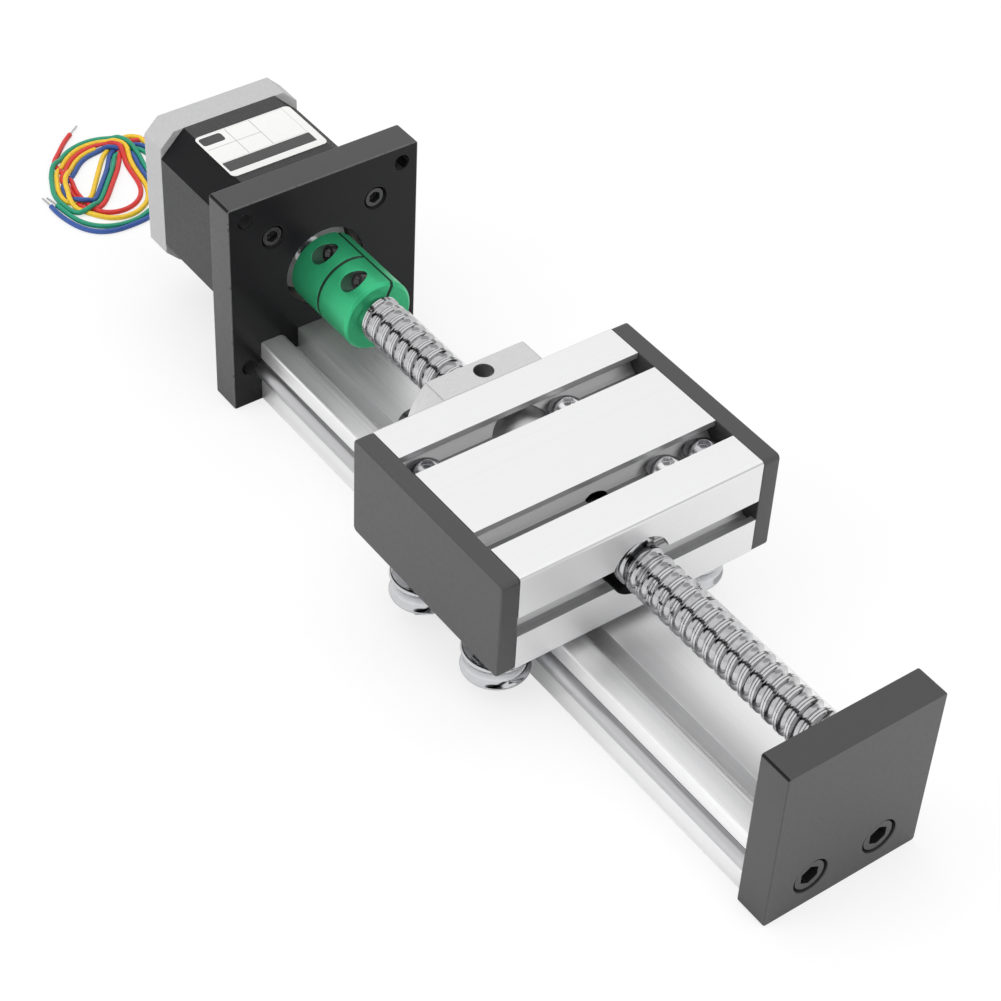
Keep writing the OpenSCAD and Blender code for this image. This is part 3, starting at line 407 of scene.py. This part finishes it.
# %% Soft lamps
LAMPS = [
    ("top", (-0.10, -0.05, 1.10), (1.3, 1.3), 8.0),
    ("left", (-0.35, -1.10, 0.75), (0.9, 0.9), 5.4),
    ("right", (1.10, 0.15, 0.55), (0.8, 0.8), 6.0),
]
for name, place, size, power in LAMPS:
    light = bpy.data.lights.new(name, "AREA")
    light.shape = "RECTANGLE"
    light.size, light.size_y = size
    light.energy = power
    lamp = bpy.data.objects.new(name, light)
    lamp.location = place
    lamp.visible_glossy = False
    lamp.rotation_euler = (Vector((0, 0, 0.03)) - Vector(place)).to_track_quat("-Z", "Y").to_euler()
    bpy.context.scene.collection.objects.link(lamp)
print(len(LAMPS), "lamps")

# %% [markdown]
# The table is one large pale sheet. Seen by the camera it is mixed with plain white, so that the picture's
# ground is nearly white and the object's shadow stays as a soft grey.

# %% Table
TABLE_HALF = 4.0
TABLE_GREY = 0.94
TABLE_WHITE = 0.72

grid = bmesh.new()
bmesh.ops.create_grid(grid, x_segments=8, y_segments=8, size=TABLE_HALF)
table_mesh = bpy.data.meshes.new("table")
grid.to_mesh(table_mesh)
grid.free()
table = bpy.data.objects.new("table", table_mesh)
bpy.context.scene.collection.objects.link(table)
sheet = bpy.data.materials.new("table_white")
sheet.use_nodes = True
tree = sheet.node_tree
surface = tree.nodes["Principled BSDF"]
surface.inputs["Base Color"].default_value = (TABLE_GREY, TABLE_GREY, TABLE_GREY, 1)
surface.inputs["Roughness"].default_value = 0.9
surface.inputs["Specular IOR Level"].default_value = 0.1
glow = tree.nodes.new("ShaderNodeEmission")
rays = tree.nodes.new("ShaderNodeLightPath")
share = value_math(tree, "MULTIPLY", rays.outputs["Is Camera Ray"], TABLE_WHITE)
mix = tree.nodes.new("ShaderNodeMixShader")
tree.links.new(share, mix.inputs["Fac"])
tree.links.new(surface.outputs[0], mix.inputs[1])
tree.links.new(glow.outputs[0], mix.inputs[2])
tree.links.new(mix.outputs[0], tree.nodes["Material Output"].inputs["Surface"])
table_mesh.materials.append(sheet)
bpy.context.scene.view_settings.view_transform = "Standard"
print("table", 2 * TABLE_HALF, "m wide")

# %% [markdown]
# ## Finishes
# Every finish here is the Principled shader with a noise texture behind it. Real machined, cast and moulded
# surfaces are never even: the noise moves the roughness a little, tints the colour by a few per cent, and
# raises a fine grain. Stretching the noise along one axis turns grain into the lines that an extrusion die,
# a lathe or a grinding wheel leaves. The texture uses the object's own coordinates, in metres.

# %% A helper for finishes
NOISE_RANGE = (0.3, 0.7)
finishes = {}


def finish(name, color, metallic, roughness, lines=(900, 900, 900), spread=0.05, tint=0.04,
           relief=0.0, specular=0.5):
    material = bpy.data.materials.new(name)
    material.use_nodes = True
    tree = material.node_tree
    shader = tree.nodes["Principled BSDF"]
    shader.inputs["Metallic"].default_value = metallic
    shader.inputs["Specular IOR Level"].default_value = specular
    coords = tree.nodes.new("ShaderNodeTexCoord")
    mapping = tree.nodes.new("ShaderNodeMapping")
    mapping.inputs["Scale"].default_value = lines
    tree.links.new(coords.outputs["Object"], mapping.inputs["Vector"])
    noise = tree.nodes.new("ShaderNodeTexNoise")
    noise.inputs["Scale"].default_value = 1.0
    noise.inputs["Detail"].default_value = 3.0
    tree.links.new(mapping.outputs["Vector"], noise.inputs["Vector"])
    rough = tree.nodes.new("ShaderNodeMapRange")
    tree.links.new(noise.outputs["Fac"], rough.inputs["Value"])
    rough.inputs["From Min"].default_value, rough.inputs["From Max"].default_value = NOISE_RANGE
    rough.inputs["To Min"].default_value = roughness - spread
    rough.inputs["To Max"].default_value = roughness + spread
    tree.links.new(rough.outputs["Result"], shader.inputs["Roughness"])
    ramp = tree.nodes.new("ShaderNodeValToRGB")
    for stop, at, amount in zip(ramp.color_ramp.elements, NOISE_RANGE, (1 - tint, 1 + tint)):
        stop.position = at
        stop.color = (*[min(1, c * amount) for c in color], 1)
    tree.links.new(noise.outputs["Fac"], ramp.inputs["Fac"])
    tree.links.new(ramp.outputs["Color"], shader.inputs["Base Color"])
    if relief:
        bump = tree.nodes.new("ShaderNodeBump")
        bump.inputs["Strength"].default_value = 1.0
        bump.inputs["Distance"].default_value = relief * MM
        tree.links.new(noise.outputs["Fac"], bump.inputs["Height"])
        tree.links.new(bump.outputs["Normal"], shader.inputs["Normal"])
    finishes[name] = material
    return material


# %% [markdown]
# The finishes of this module: clear anodised extrusion with lines along the rail, ground and polished steel,
# black anodised plates, black oxide screws, cast bells, moulded plastic and soft wire insulation.

# %% The module's finishes
finish("rail_aluminium", (0.92, 0.92, 0.925), 0.8, 0.36, (8, 1500, 1500), tint=0.03, relief=0.001)
finish("carriage_aluminium", (0.82, 0.82, 0.825), 0.65, 0.42, (1500, 8, 1500), tint=0.015, relief=0.001)
# Slot walls and floors: duller as extruded, and painted darker, a painted shade for the hollows.
finish("slot_aluminium_painted_shade", (0.56, 0.56, 0.565), 0.8, 0.40, (1500, 8, 1500), tint=0.06, relief=0.002)
finish("bright_steel", (0.58, 0.585, 0.60), 1.0, 0.10, (500, 500, 500), spread=0.03)
finish("rod_steel", (0.54, 0.54, 0.55), 1.0, 0.32, (8, 900, 900), spread=0.03)
finish("screw_steel", (0.49, 0.49, 0.50), 1.0, 0.12, (450, 450, 450), spread=0.06, tint=0.14)
# Brighter, slightly smoother steel for the flats of each land: a painted highlight beside the crease.
finish("screw_land_painted_highlight", (0.62, 0.62, 0.63), 1.0, 0.10, (450, 450, 450), spread=0.03)
finish("nut_steel", (0.68, 0.68, 0.685), 1.0, 0.36, (1400, 500, 500))
finish("bearing_steel", (0.56, 0.57, 0.585), 1.0, 0.2, (700, 700, 700))
finish("zinc_steel", (0.58, 0.58, 0.60), 1.0, 0.24, (700, 700, 700))
finish("black_anodised", (0.040, 0.040, 0.041), 0.0, 0.36, (900, 900, 900), tint=0.05, relief=0.002)
# A darker, smoother copy of the black anodising for the motor plate's front and the plates' rounded corners:
# a painted shade.
finish("black_anodised_painted_shade", (0.007, 0.007, 0.008), 0.0, 0.26, (300, 300, 300), spread=0.01, specular=0.2)
finish("bore_metal", (0.30, 0.28, 0.265), 1.0, 0.3, (600, 600, 600), tint=0.2)
# A lighter, half-metallic edge finish: a painted highlight along the motor plate's outline.
finish("black_edge_painted_highlight", (0.10, 0.10, 0.102), 0.4, 0.3, (400, 400, 400), tint=0.15)
finish("black_screw_steel", (0.014, 0.014, 0.015), 0.0, 0.24, (900, 900, 900), specular=0.7)
finish("cast_aluminium", (0.52, 0.52, 0.525), 0.25, 0.6, (1100, 1100, 1100), tint=0.05, relief=0.01)
finish("copper_winding", (0.70, 0.28, 0.12), 1.0, 0.35)
finish("grommet_rubber", (0.035, 0.035, 0.035), 0.0, 0.6, (700, 700, 700), relief=0.01)
finish("green_anodised", (0.045, 0.50, 0.22), 0.6, 0.36, (1200, 300, 300), spread=0.03, tint=0.03)
finish("green_shadow", (0.006, 0.05, 0.024), 0.0, 0.5)
finish("bore_shadow", (0.10, 0.10, 0.10), 0.8, 0.45)
finish("dome_steel", (0.84, 0.84, 0.85), 1.0, 0.2, (500, 500, 500))
finish("rotor_steel", (0.45, 0.45, 0.46), 1.0, 0.4)
finish("magnet_dark", (0.06, 0.06, 0.065), 0.4, 0.45)
finish("cap_plastic", (0.046, 0.046, 0.047), 0.0, 0.40, (800, 800, 800), tint=0.03, relief=0.002)
finish("wiper_white", (0.80, 0.80, 0.78), 0.0, 0.5)
finish("lead_red", (0.66, 0.035, 0.03), 0.0, 0.35, (400, 400, 400))
finish("lead_yellow", (0.86, 0.56, 0.03), 0.0, 0.35, (400, 400, 400))
finish("lead_green", (0.015, 0.30, 0.17), 0.0, 0.35, (400, 400, 400))
finish("lead_blue", (0.03, 0.09, 0.33), 0.0, 0.35, (400, 400, 400))
print(len(finishes), "finishes")

# %% [markdown]
# The motor's middle is a stack of punched steel sheets about half a millimetre thick, painted black. Their
# edges show as fine lines round the motor. A wave texture along the motor's axis draws them, and it also
# drives the bump, so that light catches each sheet.

# %% The stack of sheets
SHEET_T = 0.5


def banded(name, color, roughness, pitch, depth):
    material = finish(name, color, 0.0, roughness, (900, 900, 900))
    tree = material.node_tree
    shader = tree.nodes["Principled BSDF"]
    coords = tree.nodes.new("ShaderNodeTexCoord")
    wave = tree.nodes.new("ShaderNodeTexWave")
    wave.bands_direction = "X"
    wave.wave_profile = "SIN"
    wave.inputs["Scale"].default_value = math.pi / (10 * pitch * MM)
    wave.inputs["Distortion"].default_value = 0.0
    tree.links.new(coords.outputs["Object"], wave.inputs["Vector"])
    bump = tree.nodes.new("ShaderNodeBump")
    bump.inputs["Strength"].default_value = 1.0
    bump.inputs["Distance"].default_value = depth * MM
    tree.links.new(wave.outputs["Fac"], bump.inputs["Height"])
    tree.links.new(bump.outputs["Normal"], shader.inputs["Normal"])
    return material


banded("stator_black", (0.030, 0.030, 0.031), 0.45, SHEET_T, 0.12)
banded("stator_corner", (0.008, 0.008, 0.009), 0.55, SHEET_T, 0.03)
finishes["stator_corner"].node_tree.nodes["Principled BSDF"].inputs["Specular IOR Level"].default_value = 0.15
print("sheets", SHEET_T, "mm apart")

# %% [markdown]
# ## Rounded edges
# No real edge is a perfect corner: tumbling, anodising or a quick pass of the file leaves a small radius, and
# that radius catches the bright line that makes a part look solid. A dressed piece is a copy of the solid
# with its flat faces merged and its sharp edges bevelled. The weighted normals keep flat faces flat. Some
# faces get a finish of their own: a rule says which ones, from a face's middle in millimetres and the
# direction that it looks in; some of these finishes are painted shade. The rounded edges of a node's outline
# can have their own lighter finish too, a painted highlight along them. Corners that are rounded off in the
# solid can be drawn in, to a small crisp cut.

# %% A helper that dresses a solid
FLAT = math.radians(0.2)
WELD = 0.002
BEVEL_STEPS = 2
RIM = 0.5
SMOOTH_UP_TO = 28


def crisp_corners(work, radius, wanted):
    low = [min(v.co[k] for v in work.verts) for k in range(3)]
    high = [max(v.co[k] for v in work.verts) for k in range(3)]
    for vert in work.verts:
        gaps = [min(vert.co[k] - low[k], high[k] - vert.co[k]) for k in (1, 2)]
        if max(gaps) < (radius + 0.01) * MM:
            for k, gap in zip((1, 2), gaps):
                edge, way = (low[k], 1) if vert.co[k] - low[k] < high[k] - vert.co[k] else (high[k], -1)
                vert.co[k] = edge + way * gap * wanted / radius


def dressed(node, width, corner=35):
    solid = solids[node]
    slot = solid.material_slots[0].material.name.split(".")[0]
    areas = AREAS.get(node, [])
    looks = [LOOKS.get(node, slot)] + [look for look, _ in areas]
    if node in EDGE_LOOKS:
        looks.append(EDGE_LOOKS[node])
    edge_look = len(looks) - 1
    mesh = solid.data.copy()
    mesh.name = node + "_finished"
    work = bmesh.new()
    work.from_mesh(mesh)
    bmesh.ops.remove_doubles(work, verts=work.verts, dist=WELD * MM)
    bmesh.ops.dissolve_limit(work, angle_limit=FLAT, verts=work.verts, edges=work.edges)
    work.normal_update()
    for face in work.faces:
        middle = face.calc_center_bounds() / MM
        fitting = (k + 1 for k, (_, rule) in enumerate(areas) if rule(middle, face.normal))
        face.material_index = next(fitting, 0)
    if node in CRISP_CORNERS:
        crisp_corners(work, *CRISP_CORNERS[node])
    sharp = [e for e in work.edges
             if len(e.link_faces) == 2 and e.calc_face_angle() > math.radians(corner)]
    if width:
        bmesh.ops.bevel(work, geom=sharp, offset=width * MM, offset_type="OFFSET", segments=BEVEL_STEPS,
                        profile=0.5, affect="EDGES", clamp_overlap=False, miter_outer="ARC",
                        material=edge_look if node in EDGE_LOOKS else -1)
    # The edge finish is a painted highlight. Only the outline's rounded edges keep it; the other rounded
    # edges, round the holes, take the node's first area finish, which on the motor plate is painted shade.
    if node in EDGE_LOOKS:
        low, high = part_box(node)
        for face in work.faces:
            at = face.calc_center_median()
            outer = min(at.y - low.y, high.y - at.y, at.z - low.z, high.z - at.z) < RIM * MM
            if face.material_index == edge_look and not outer:
                face.material_index = 1
    for face in work.faces:
        face.smooth = True
    mesh.materials.clear()
    for look in looks:
        mesh.materials.append(finishes[look])
    work.to_mesh(mesh)
    work.free()
    mesh.set_sharp_from_angle(angle=math.radians(SMOOTH_UP_TO))
    piece = bpy.data.objects.new(mesh.name, mesh)
    bpy.context.scene.collection.objects.link(piece)
    weigh = piece.modifiers.new("even faces", "WEIGHTED_NORMAL")
    weigh.keep_sharp = True
    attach(piece, solid["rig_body"])
    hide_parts(node)
    return piece


# %% [markdown]
# The widths follow the parts. An extruded rail has crisp edges, milled plates are broken by a third of a
# millimetre, moulded end caps have generous corners, and small turned parts only lose their burr. Where holes
# lie close to an edge, as on the motor's rear bell, the width is small enough that the two bevels don't meet.
# The carriage's slots are left as the die made them, duller than its milled faces, and painted darker, a
# painted shade for their hollows. The front of the motor's plate is smoother than its sawn sides and painted
# darker, and so are the rounded corners of both plates: a painted shade. The coupling's cuts and pockets are
# in shadow. The coupling is left out of reflections, because its green would otherwise tint the plate and the
# rail.

# %% Dress the plates, the rail, the carriage and the small parts
EDGES = {
    "rail": 0.15, "motor_plate": 0.3, "end_plate": 0.3, "carriage_block": 0.15,
    "end_cap_left": 0.45, "end_cap_right": 0.45, "coupling": 0.15, "ball_nut": 0.25,
    "motor_front_bell": 0.35, "motor_rear_bell": 0.25, "motor_stator": 0.12,
    "roller_front_left": 0.15, "roller_front_right": 0.15,
    "roller_rear_left": 0.15, "roller_rear_right": 0.15,
    "end_plate_screws": 0.17, "motor_plate_screws": 0.17, "motor_mount_screws": 0.15,
    "motor_tie_screws": 0.15, "coupling_screws": 0.12, "nut_screws": 0.2,
    "fixed_axle_bolts": 0.1, "fixed_axle_nuts": 0.2, "fixed_axle_washers": 0.1,
    "fixed_axle_spacers": 0.1, "eccentric_axle_screws": 0.15, "eccentric_bushes": 0.2,
    "slot_screws": 0.1, "slot_nuts": 0.15, "lead_grommet": 0.3,
}
AXIS_Z = 36.0
TOP_SLOT_Z = 43
SIDE_SLOT_RANGE = (31, 40)
SLOT_MARGIN = 0.2
NUT_BORE_R = 11
PLATE_BORE_R = (9, 13)
MOTOR_PLATE_CORNER = 23
END_PLATE_CORNER = (21, 24)
block_low, block_high = (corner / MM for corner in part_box("carriage_block"))
cup_low, cup_high = (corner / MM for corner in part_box("coupling"))


def from_axis(at):
    return math.hypot(at.y, at.z - AXIS_Z)


def slanted(way):
    return min(abs(way.y), abs(way.z))


AREAS = {
    "carriage_block": [
        # Faces inside the slots take the painted shade.
        ("slot_aluminium_painted_shade", lambda at, way: (
            block_low.x + SLOT_MARGIN < at.x < block_high.x - SLOT_MARGIN
            and ((TOP_SLOT_Z < at.z < block_high.z - SLOT_MARGIN and abs(way.y) < 0.9)
                 or SIDE_SLOT_RANGE[0] < at.z < SIDE_SLOT_RANGE[1]))),
        ("bore_shadow", lambda at, way: abs(way.x) < 0.3 and from_axis(at) < NUT_BORE_R)],
    "motor_plate": [
        # The motor plate's front and its rounded corners take the painted shade.
        ("black_anodised_painted_shade", lambda at, way: (
            way.x > 0.5 or (slanted(way) > 0.25 and abs(at.y) > MOTOR_PLATE_CORNER))),
        ("bore_metal", lambda at, way: (
            abs(way.x) < 0.1 and PLATE_BORE_R[0] < from_axis(at) < PLATE_BORE_R[1]))],
    "end_plate": [
        # The end plate's rounded corners take the painted shade.
        ("black_anodised_painted_shade", lambda at, way: (
            slanted(way) > 0.25
            and min(abs(at.y) - END_PLATE_CORNER[0], abs(at.z - END_PLATE_CORNER[1])) > 0))],
    "coupling": [
        ("green_shadow", lambda at, way: (
            way.y * at.y + way.z * (at.z - AXIS_Z) < 0.6 * from_axis(at)
            and not (abs(way.x) > 0.5 and not cup_low.x + 1 < at.x < cup_high.x - 1)))],
    "motor_stator": [("stator_corner", lambda at, way: slanted(way) > 0.5)],
}
LOOKS = {"slot_screws": "dome_steel"}
CRISP_CORNERS = {"motor_plate": (2.0, 0.8), "end_plate": (2.0, 0.8)}
# The motor plate's rounded outline takes the painted highlight.
EDGE_LOOKS = {"motor_plate": "black_edge_painted_highlight"}
pieces = {node: dressed(node, width) for node, width in EDGES.items()}
for node in ("coupling", "coupling_screws"):
    pieces[node].visible_glossy = False
print(len(pieces), "pieces,", sum(len(p.data.polygons) for p in pieces.values()), "faces")

# %% [markdown]
# ## The ball screw
# The thread of a ball screw is a round gutter, wound along the shaft, in which the balls roll. Between two
# turns stays a land, and as the thread is rolled, not cut, a fine crease runs along the middle of the land,
# where the metal met. One grid of points makes it: each row is the gutter's outline along the shaft, and
# each column is one step round it, moved on by its share of the lead. After a full turn the grid meets itself
# one lead further on. The grid is made too long, then cut square at both ends of the thread and closed.

# %% The thread's outline over one lead
LEAD = 4.0
SCREW_R = 6.0
GUTTER_R = 1.35
GUTTER_CENTRE_R = 6.1
LAND_HALF = 0.60
CREASE_HALF = 0.13
CREASE_DEPTH = 0.3
TURN_STEPS = 48
GUTTER_STEPS = 9

first = math.asin((GUTTER_CENTRE_R - SCREW_R + 0.05) / GUTTER_R)
gutter = [(LEAD / 2 - GUTTER_R * math.cos(a), GUTTER_CENTRE_R - GUTTER_R * math.sin(a))
          for a in np.linspace(first, math.pi - first, GUTTER_STEPS)]
outline = [(-LAND_HALF, SCREW_R), (-CREASE_HALF, SCREW_R), (0.0, SCREW_R - CREASE_DEPTH),
           (CREASE_HALF, SCREW_R), (LAND_HALF, SCREW_R)] + gutter
print("gutter", round(SCREW_R - min(r for _, r in gutter), 2), "mm deep,", len(outline), "points a lead")


# %% Wind the outline along the shaft
def wound_thread(work, x_from, x_to):
    turns = int((x_to - x_from) / LEAD) + 3
    rows = []
    for step in range(TURN_STEPS):
        angle = 2 * math.pi * step / TURN_STEPS
        start = x_from - LEAD + LEAD * step / TURN_STEPS
        rows.append([work.verts.new(((start + turn * LEAD + s) * MM, r * math.cos(angle) * MM,
                                     (AXIS_Z + r * math.sin(angle)) * MM))
                     for turn in range(turns) for s, r in outline])
    per_lead = len(outline)
    count = len(rows[0])
    for step in range(TURN_STEPS):
        last = step == TURN_STEPS - 1
        here, there = rows[step], rows[0 if last else step + 1]
        shift = per_lead if last else 0
        for k in range(count - 1 - shift):
            face = work.faces.new((here[k], here[k + 1], there[k + 1 + shift], there[k + shift]))
            # The land's two flat halves take the brighter steel, a painted highlight; the crease and the
            # gutter keep the plain steel.
            face.material_index = 1 if k % per_lead in (0, 3) else 0
    for x, side in ((x_from, -1), (x_to, 1)):
        bmesh.ops.bisect_plane(work, geom=work.verts[:] + work.edges[:] + work.faces[:],
                               plane_co=(x * MM, 0, 0), plane_no=(side, 0, 0), clear_outer=True)
    rim = [e for e in work.edges if e.is_boundary]
    bmesh.ops.holes_fill(work, edges=rim, sides=0)


def turned(work, outline_xr, steps=48):
    rings = [[work.verts.new((x * MM, r * math.cos(a) * MM, (AXIS_Z + r * math.sin(a)) * MM))
              for a in np.linspace(0, 2 * math.pi, steps, endpoint=False)] for x, r in outline_xr]
    for one, two in zip(rings, rings[1:]):
        for k in range(steps):
            work.faces.new((one[k], one[(k + 1) % steps], two[(k + 1) % steps], two[k]))
    work.faces.new(rings[0][::-1])
    work.faces.new(rings[-1])


low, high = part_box("ball_screw")
plate_low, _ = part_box("end_plate")
_, coupling_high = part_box("coupling")
THREAD_CLEAR = 0.02
THREAD_RUN_OUT = 1.5
JOURNAL_R = 4.0
JOURNAL_CHAMFER = 0.3
JOURNAL_OVERLAP = 1
SMOOTH_THREAD_UP_TO = 24
tip_r = JOURNAL_R - JOURNAL_CHAMFER
thread_from = coupling_high.x / MM + THREAD_CLEAR
thread_to = plate_low.x / MM - THREAD_RUN_OUT
work = bmesh.new()
wound_thread(work, thread_from, thread_to)
turned(work, [(low.x / MM, tip_r), (low.x / MM + JOURNAL_CHAMFER, JOURNAL_R),
              (thread_from + JOURNAL_OVERLAP, JOURNAL_R)])
turned(work, [(thread_to - JOURNAL_OVERLAP, JOURNAL_R),
              (high.x / MM - JOURNAL_CHAMFER, JOURNAL_R), (high.x / MM, tip_r)])
bmesh.ops.recalc_face_normals(work, faces=work.faces)
for face in work.faces:
    face.smooth = True
screw_mesh = bpy.data.meshes.new("ball_screw_thread")
work.to_mesh(screw_mesh)
work.free()
screw_mesh.set_sharp_from_angle(angle=math.radians(SMOOTH_THREAD_UP_TO))
screw = bpy.data.objects.new("ball_screw_thread", screw_mesh)
bpy.context.scene.collection.objects.link(screw)
for look in ("screw_steel", "screw_land_painted_highlight"):
    screw_mesh.materials.append(finishes[look])
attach(screw, "screw")
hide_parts("ball_screw")
print("thread from", round(thread_from, 1), "to", round(thread_to, 1), "mm,",
      len(screw_mesh.polygons), "faces")

# %% [markdown]
# ## The ribs in the side slots
# The floor of each side slot of the carriage has a few fine ribs from the extrusion die. They run along the
# slot and stop at the screw's hole. One corrugated strip on either side of the hole makes them.

# %% Ribs
RIB_ROWS = 4
RIB_PITCH = 1.15
RIB_H = 0.3
RIB_FROM = 8.9
RIB_TO = 34.9
RIB_BED = 0.25
RIB_STEPS = 10


def ribbed_strip(name, x_floor, outward, y_from, y_to, z_mid):
    half = RIB_ROWS * RIB_PITCH / 2
    line = [(z, RIB_H * abs(math.sin(math.pi * (z + half) / RIB_PITCH)))
            for z in np.linspace(-half, half, RIB_STEPS * RIB_ROWS + 1)]
    outline = [(-half, -RIB_BED), (half, -RIB_BED)] + line[::-1]
    work = bmesh.new()
    ends = [[work.verts.new(((x_floor + outward * h) * MM, y * MM, (z_mid + z) * MM))
             for z, h in outline] for y in (y_from, y_to)]
    for k in range(len(outline)):
        n = (k + 1) % len(outline)
        work.faces.new((ends[0][k], ends[0][n], ends[1][n], ends[1][k]))
    work.faces.new(ends[0])
    work.faces.new(ends[1][::-1])
    bmesh.ops.recalc_face_normals(work, faces=work.faces)
    mesh = bpy.data.meshes.new(name)
    work.to_mesh(mesh)
    work.free()
    piece = bpy.data.objects.new(name, mesh)
    bpy.context.scene.collection.objects.link(piece)
    # The ribs lie in the slots and take the same painted shade.
    mesh.materials.append(finishes["slot_aluminium_painted_shade"])
    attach(piece, "carriage")


SIDE_DEPTH = 6.4
SIDE_SLOT_Z = 35.3
for end, x, outward in (("front", block_high.x - SIDE_DEPTH, 1), ("rear", block_low.x + SIDE_DEPTH, -1)):
    for side, name in ((-1, "left"), (1, "right")):
        ribbed_strip(f"slot_ribs_{end}_{name}", x, outward, side * RIB_FROM, side * RIB_TO, SIDE_SLOT_Z)
print("4 strips with", RIB_ROWS, "ribs each")

# %% [markdown]
# ## The label
# The motor carries a plain printed sticker. Its dark band, dark block and thin rules are drawn on a white
# field, by comparing the surface's own coordinates with the edges of each printed area. Each area is given
# by its two ends across and along the label, as shares of its size, then by the radius of its corners in
# millimetres and its shade.

# %% Label
label_low, label_high = (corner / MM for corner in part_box("motor_label"))
LABEL_MARKS = [
    (0.02, 0.93, 0.67, 0.88, 0.3, 0.05),
    (0.02, 0.25, 0.055, 0.235, 0.9, 0.04),
    (0.02, 0.57, 0.325, 0.337, 0.0, 0.45),
    (0.308, 0.316, 0.02, 0.65, 0.0, 0.45),
    (0.566, 0.574, 0.02, 0.65, 0.0, 0.45),
    (0.918, 0.926, 0.02, 0.65, 0.0, 0.6),
    (0.02, 0.926, 0.016, 0.026, 0.0, 0.6),
    (0.02, 0.926, 0.645, 0.655, 0.0, 0.6),
]


def printed(name, low, high, marks):
    material = finish(name, (0.80, 0.80, 0.79), 0.0, 0.45, (600, 600, 600), tint=0.01)
    tree = material.node_tree
    ink = tree.nodes["Color Ramp"].outputs["Color"]
    place = tree.nodes.new("ShaderNodeTexCoord").outputs["Object"]
    size = high - low

    def measured(kind, first, second):
        node = tree.nodes.new("ShaderNodeVectorMath")
        node.operation = kind
        tree.links.new(first, node.inputs[0])
        node.inputs[1].default_value = second
        return node.outputs["Value" if kind == "LENGTH" else "Vector"]

    for u0, u1, v0, v1, rounding, shade in marks:
        middle = Vector((low.x + size.x * (v0 + v1) / 2, low.y + size.y * (u0 + u1) / 2, 0)) * MM
        half = Vector((size.x * (v1 - v0) / 2 - rounding, size.y * (u1 - u0) / 2 - rounding, 1000)) * MM
        off = measured("ABSOLUTE", measured("SUBTRACT", place, middle), (0, 0, 0))
        off = measured("LENGTH", measured("MAXIMUM", measured("SUBTRACT", off, half), (0, 0, 0)), (0, 0, 0))
        inside = value_math(tree, "LESS_THAN", off, max(rounding, 0.001) * MM)
        mix = tree.nodes.new("ShaderNodeMix")
        mix.data_type = "RGBA"
        tree.links.new(inside, mix.inputs["Factor"])
        tree.links.new(ink, mix.inputs[6])
        mix.inputs[7].default_value = (shade, shade, shade, 1)
        ink = mix.outputs[2]
    tree.links.new(ink, tree.nodes["Principled BSDF"].inputs["Base Color"])


printed("label_white", label_low, label_high, LABEL_MARKS)
pieces["motor_label"] = dressed("motor_label", 0.04, corner=60)
print("label", [round(v, 1) for v in label_high - label_low], "mm,", len(LABEL_MARKS), "printed areas")

# %% [markdown]
# ## The solids that stay
# Inner parts such as windings, bearings, balls and the rotor hardly show, and their solids are right as they
# are. They only get their finish.

# %% Finishes on the remaining solids
covered = set(pieces) | {"ball_screw", "lead_coil"} | set(LEAD_RUNS)
kept = [n for n in solids if n not in covered]
for node in kept:
    slot = solids[node].material_slots[0]
    slot.material = finishes["rod_steel" if node.startswith("rod_") else slot.material.name.split(".")[0]]
for name, piece in leads.items():
    piece.data.materials.append(finishes[name])
    lead_tips[name].data.materials.append(finishes["zinc_steel"])
print(len(kept), "solids kept:", ", ".join(sorted(kept)))
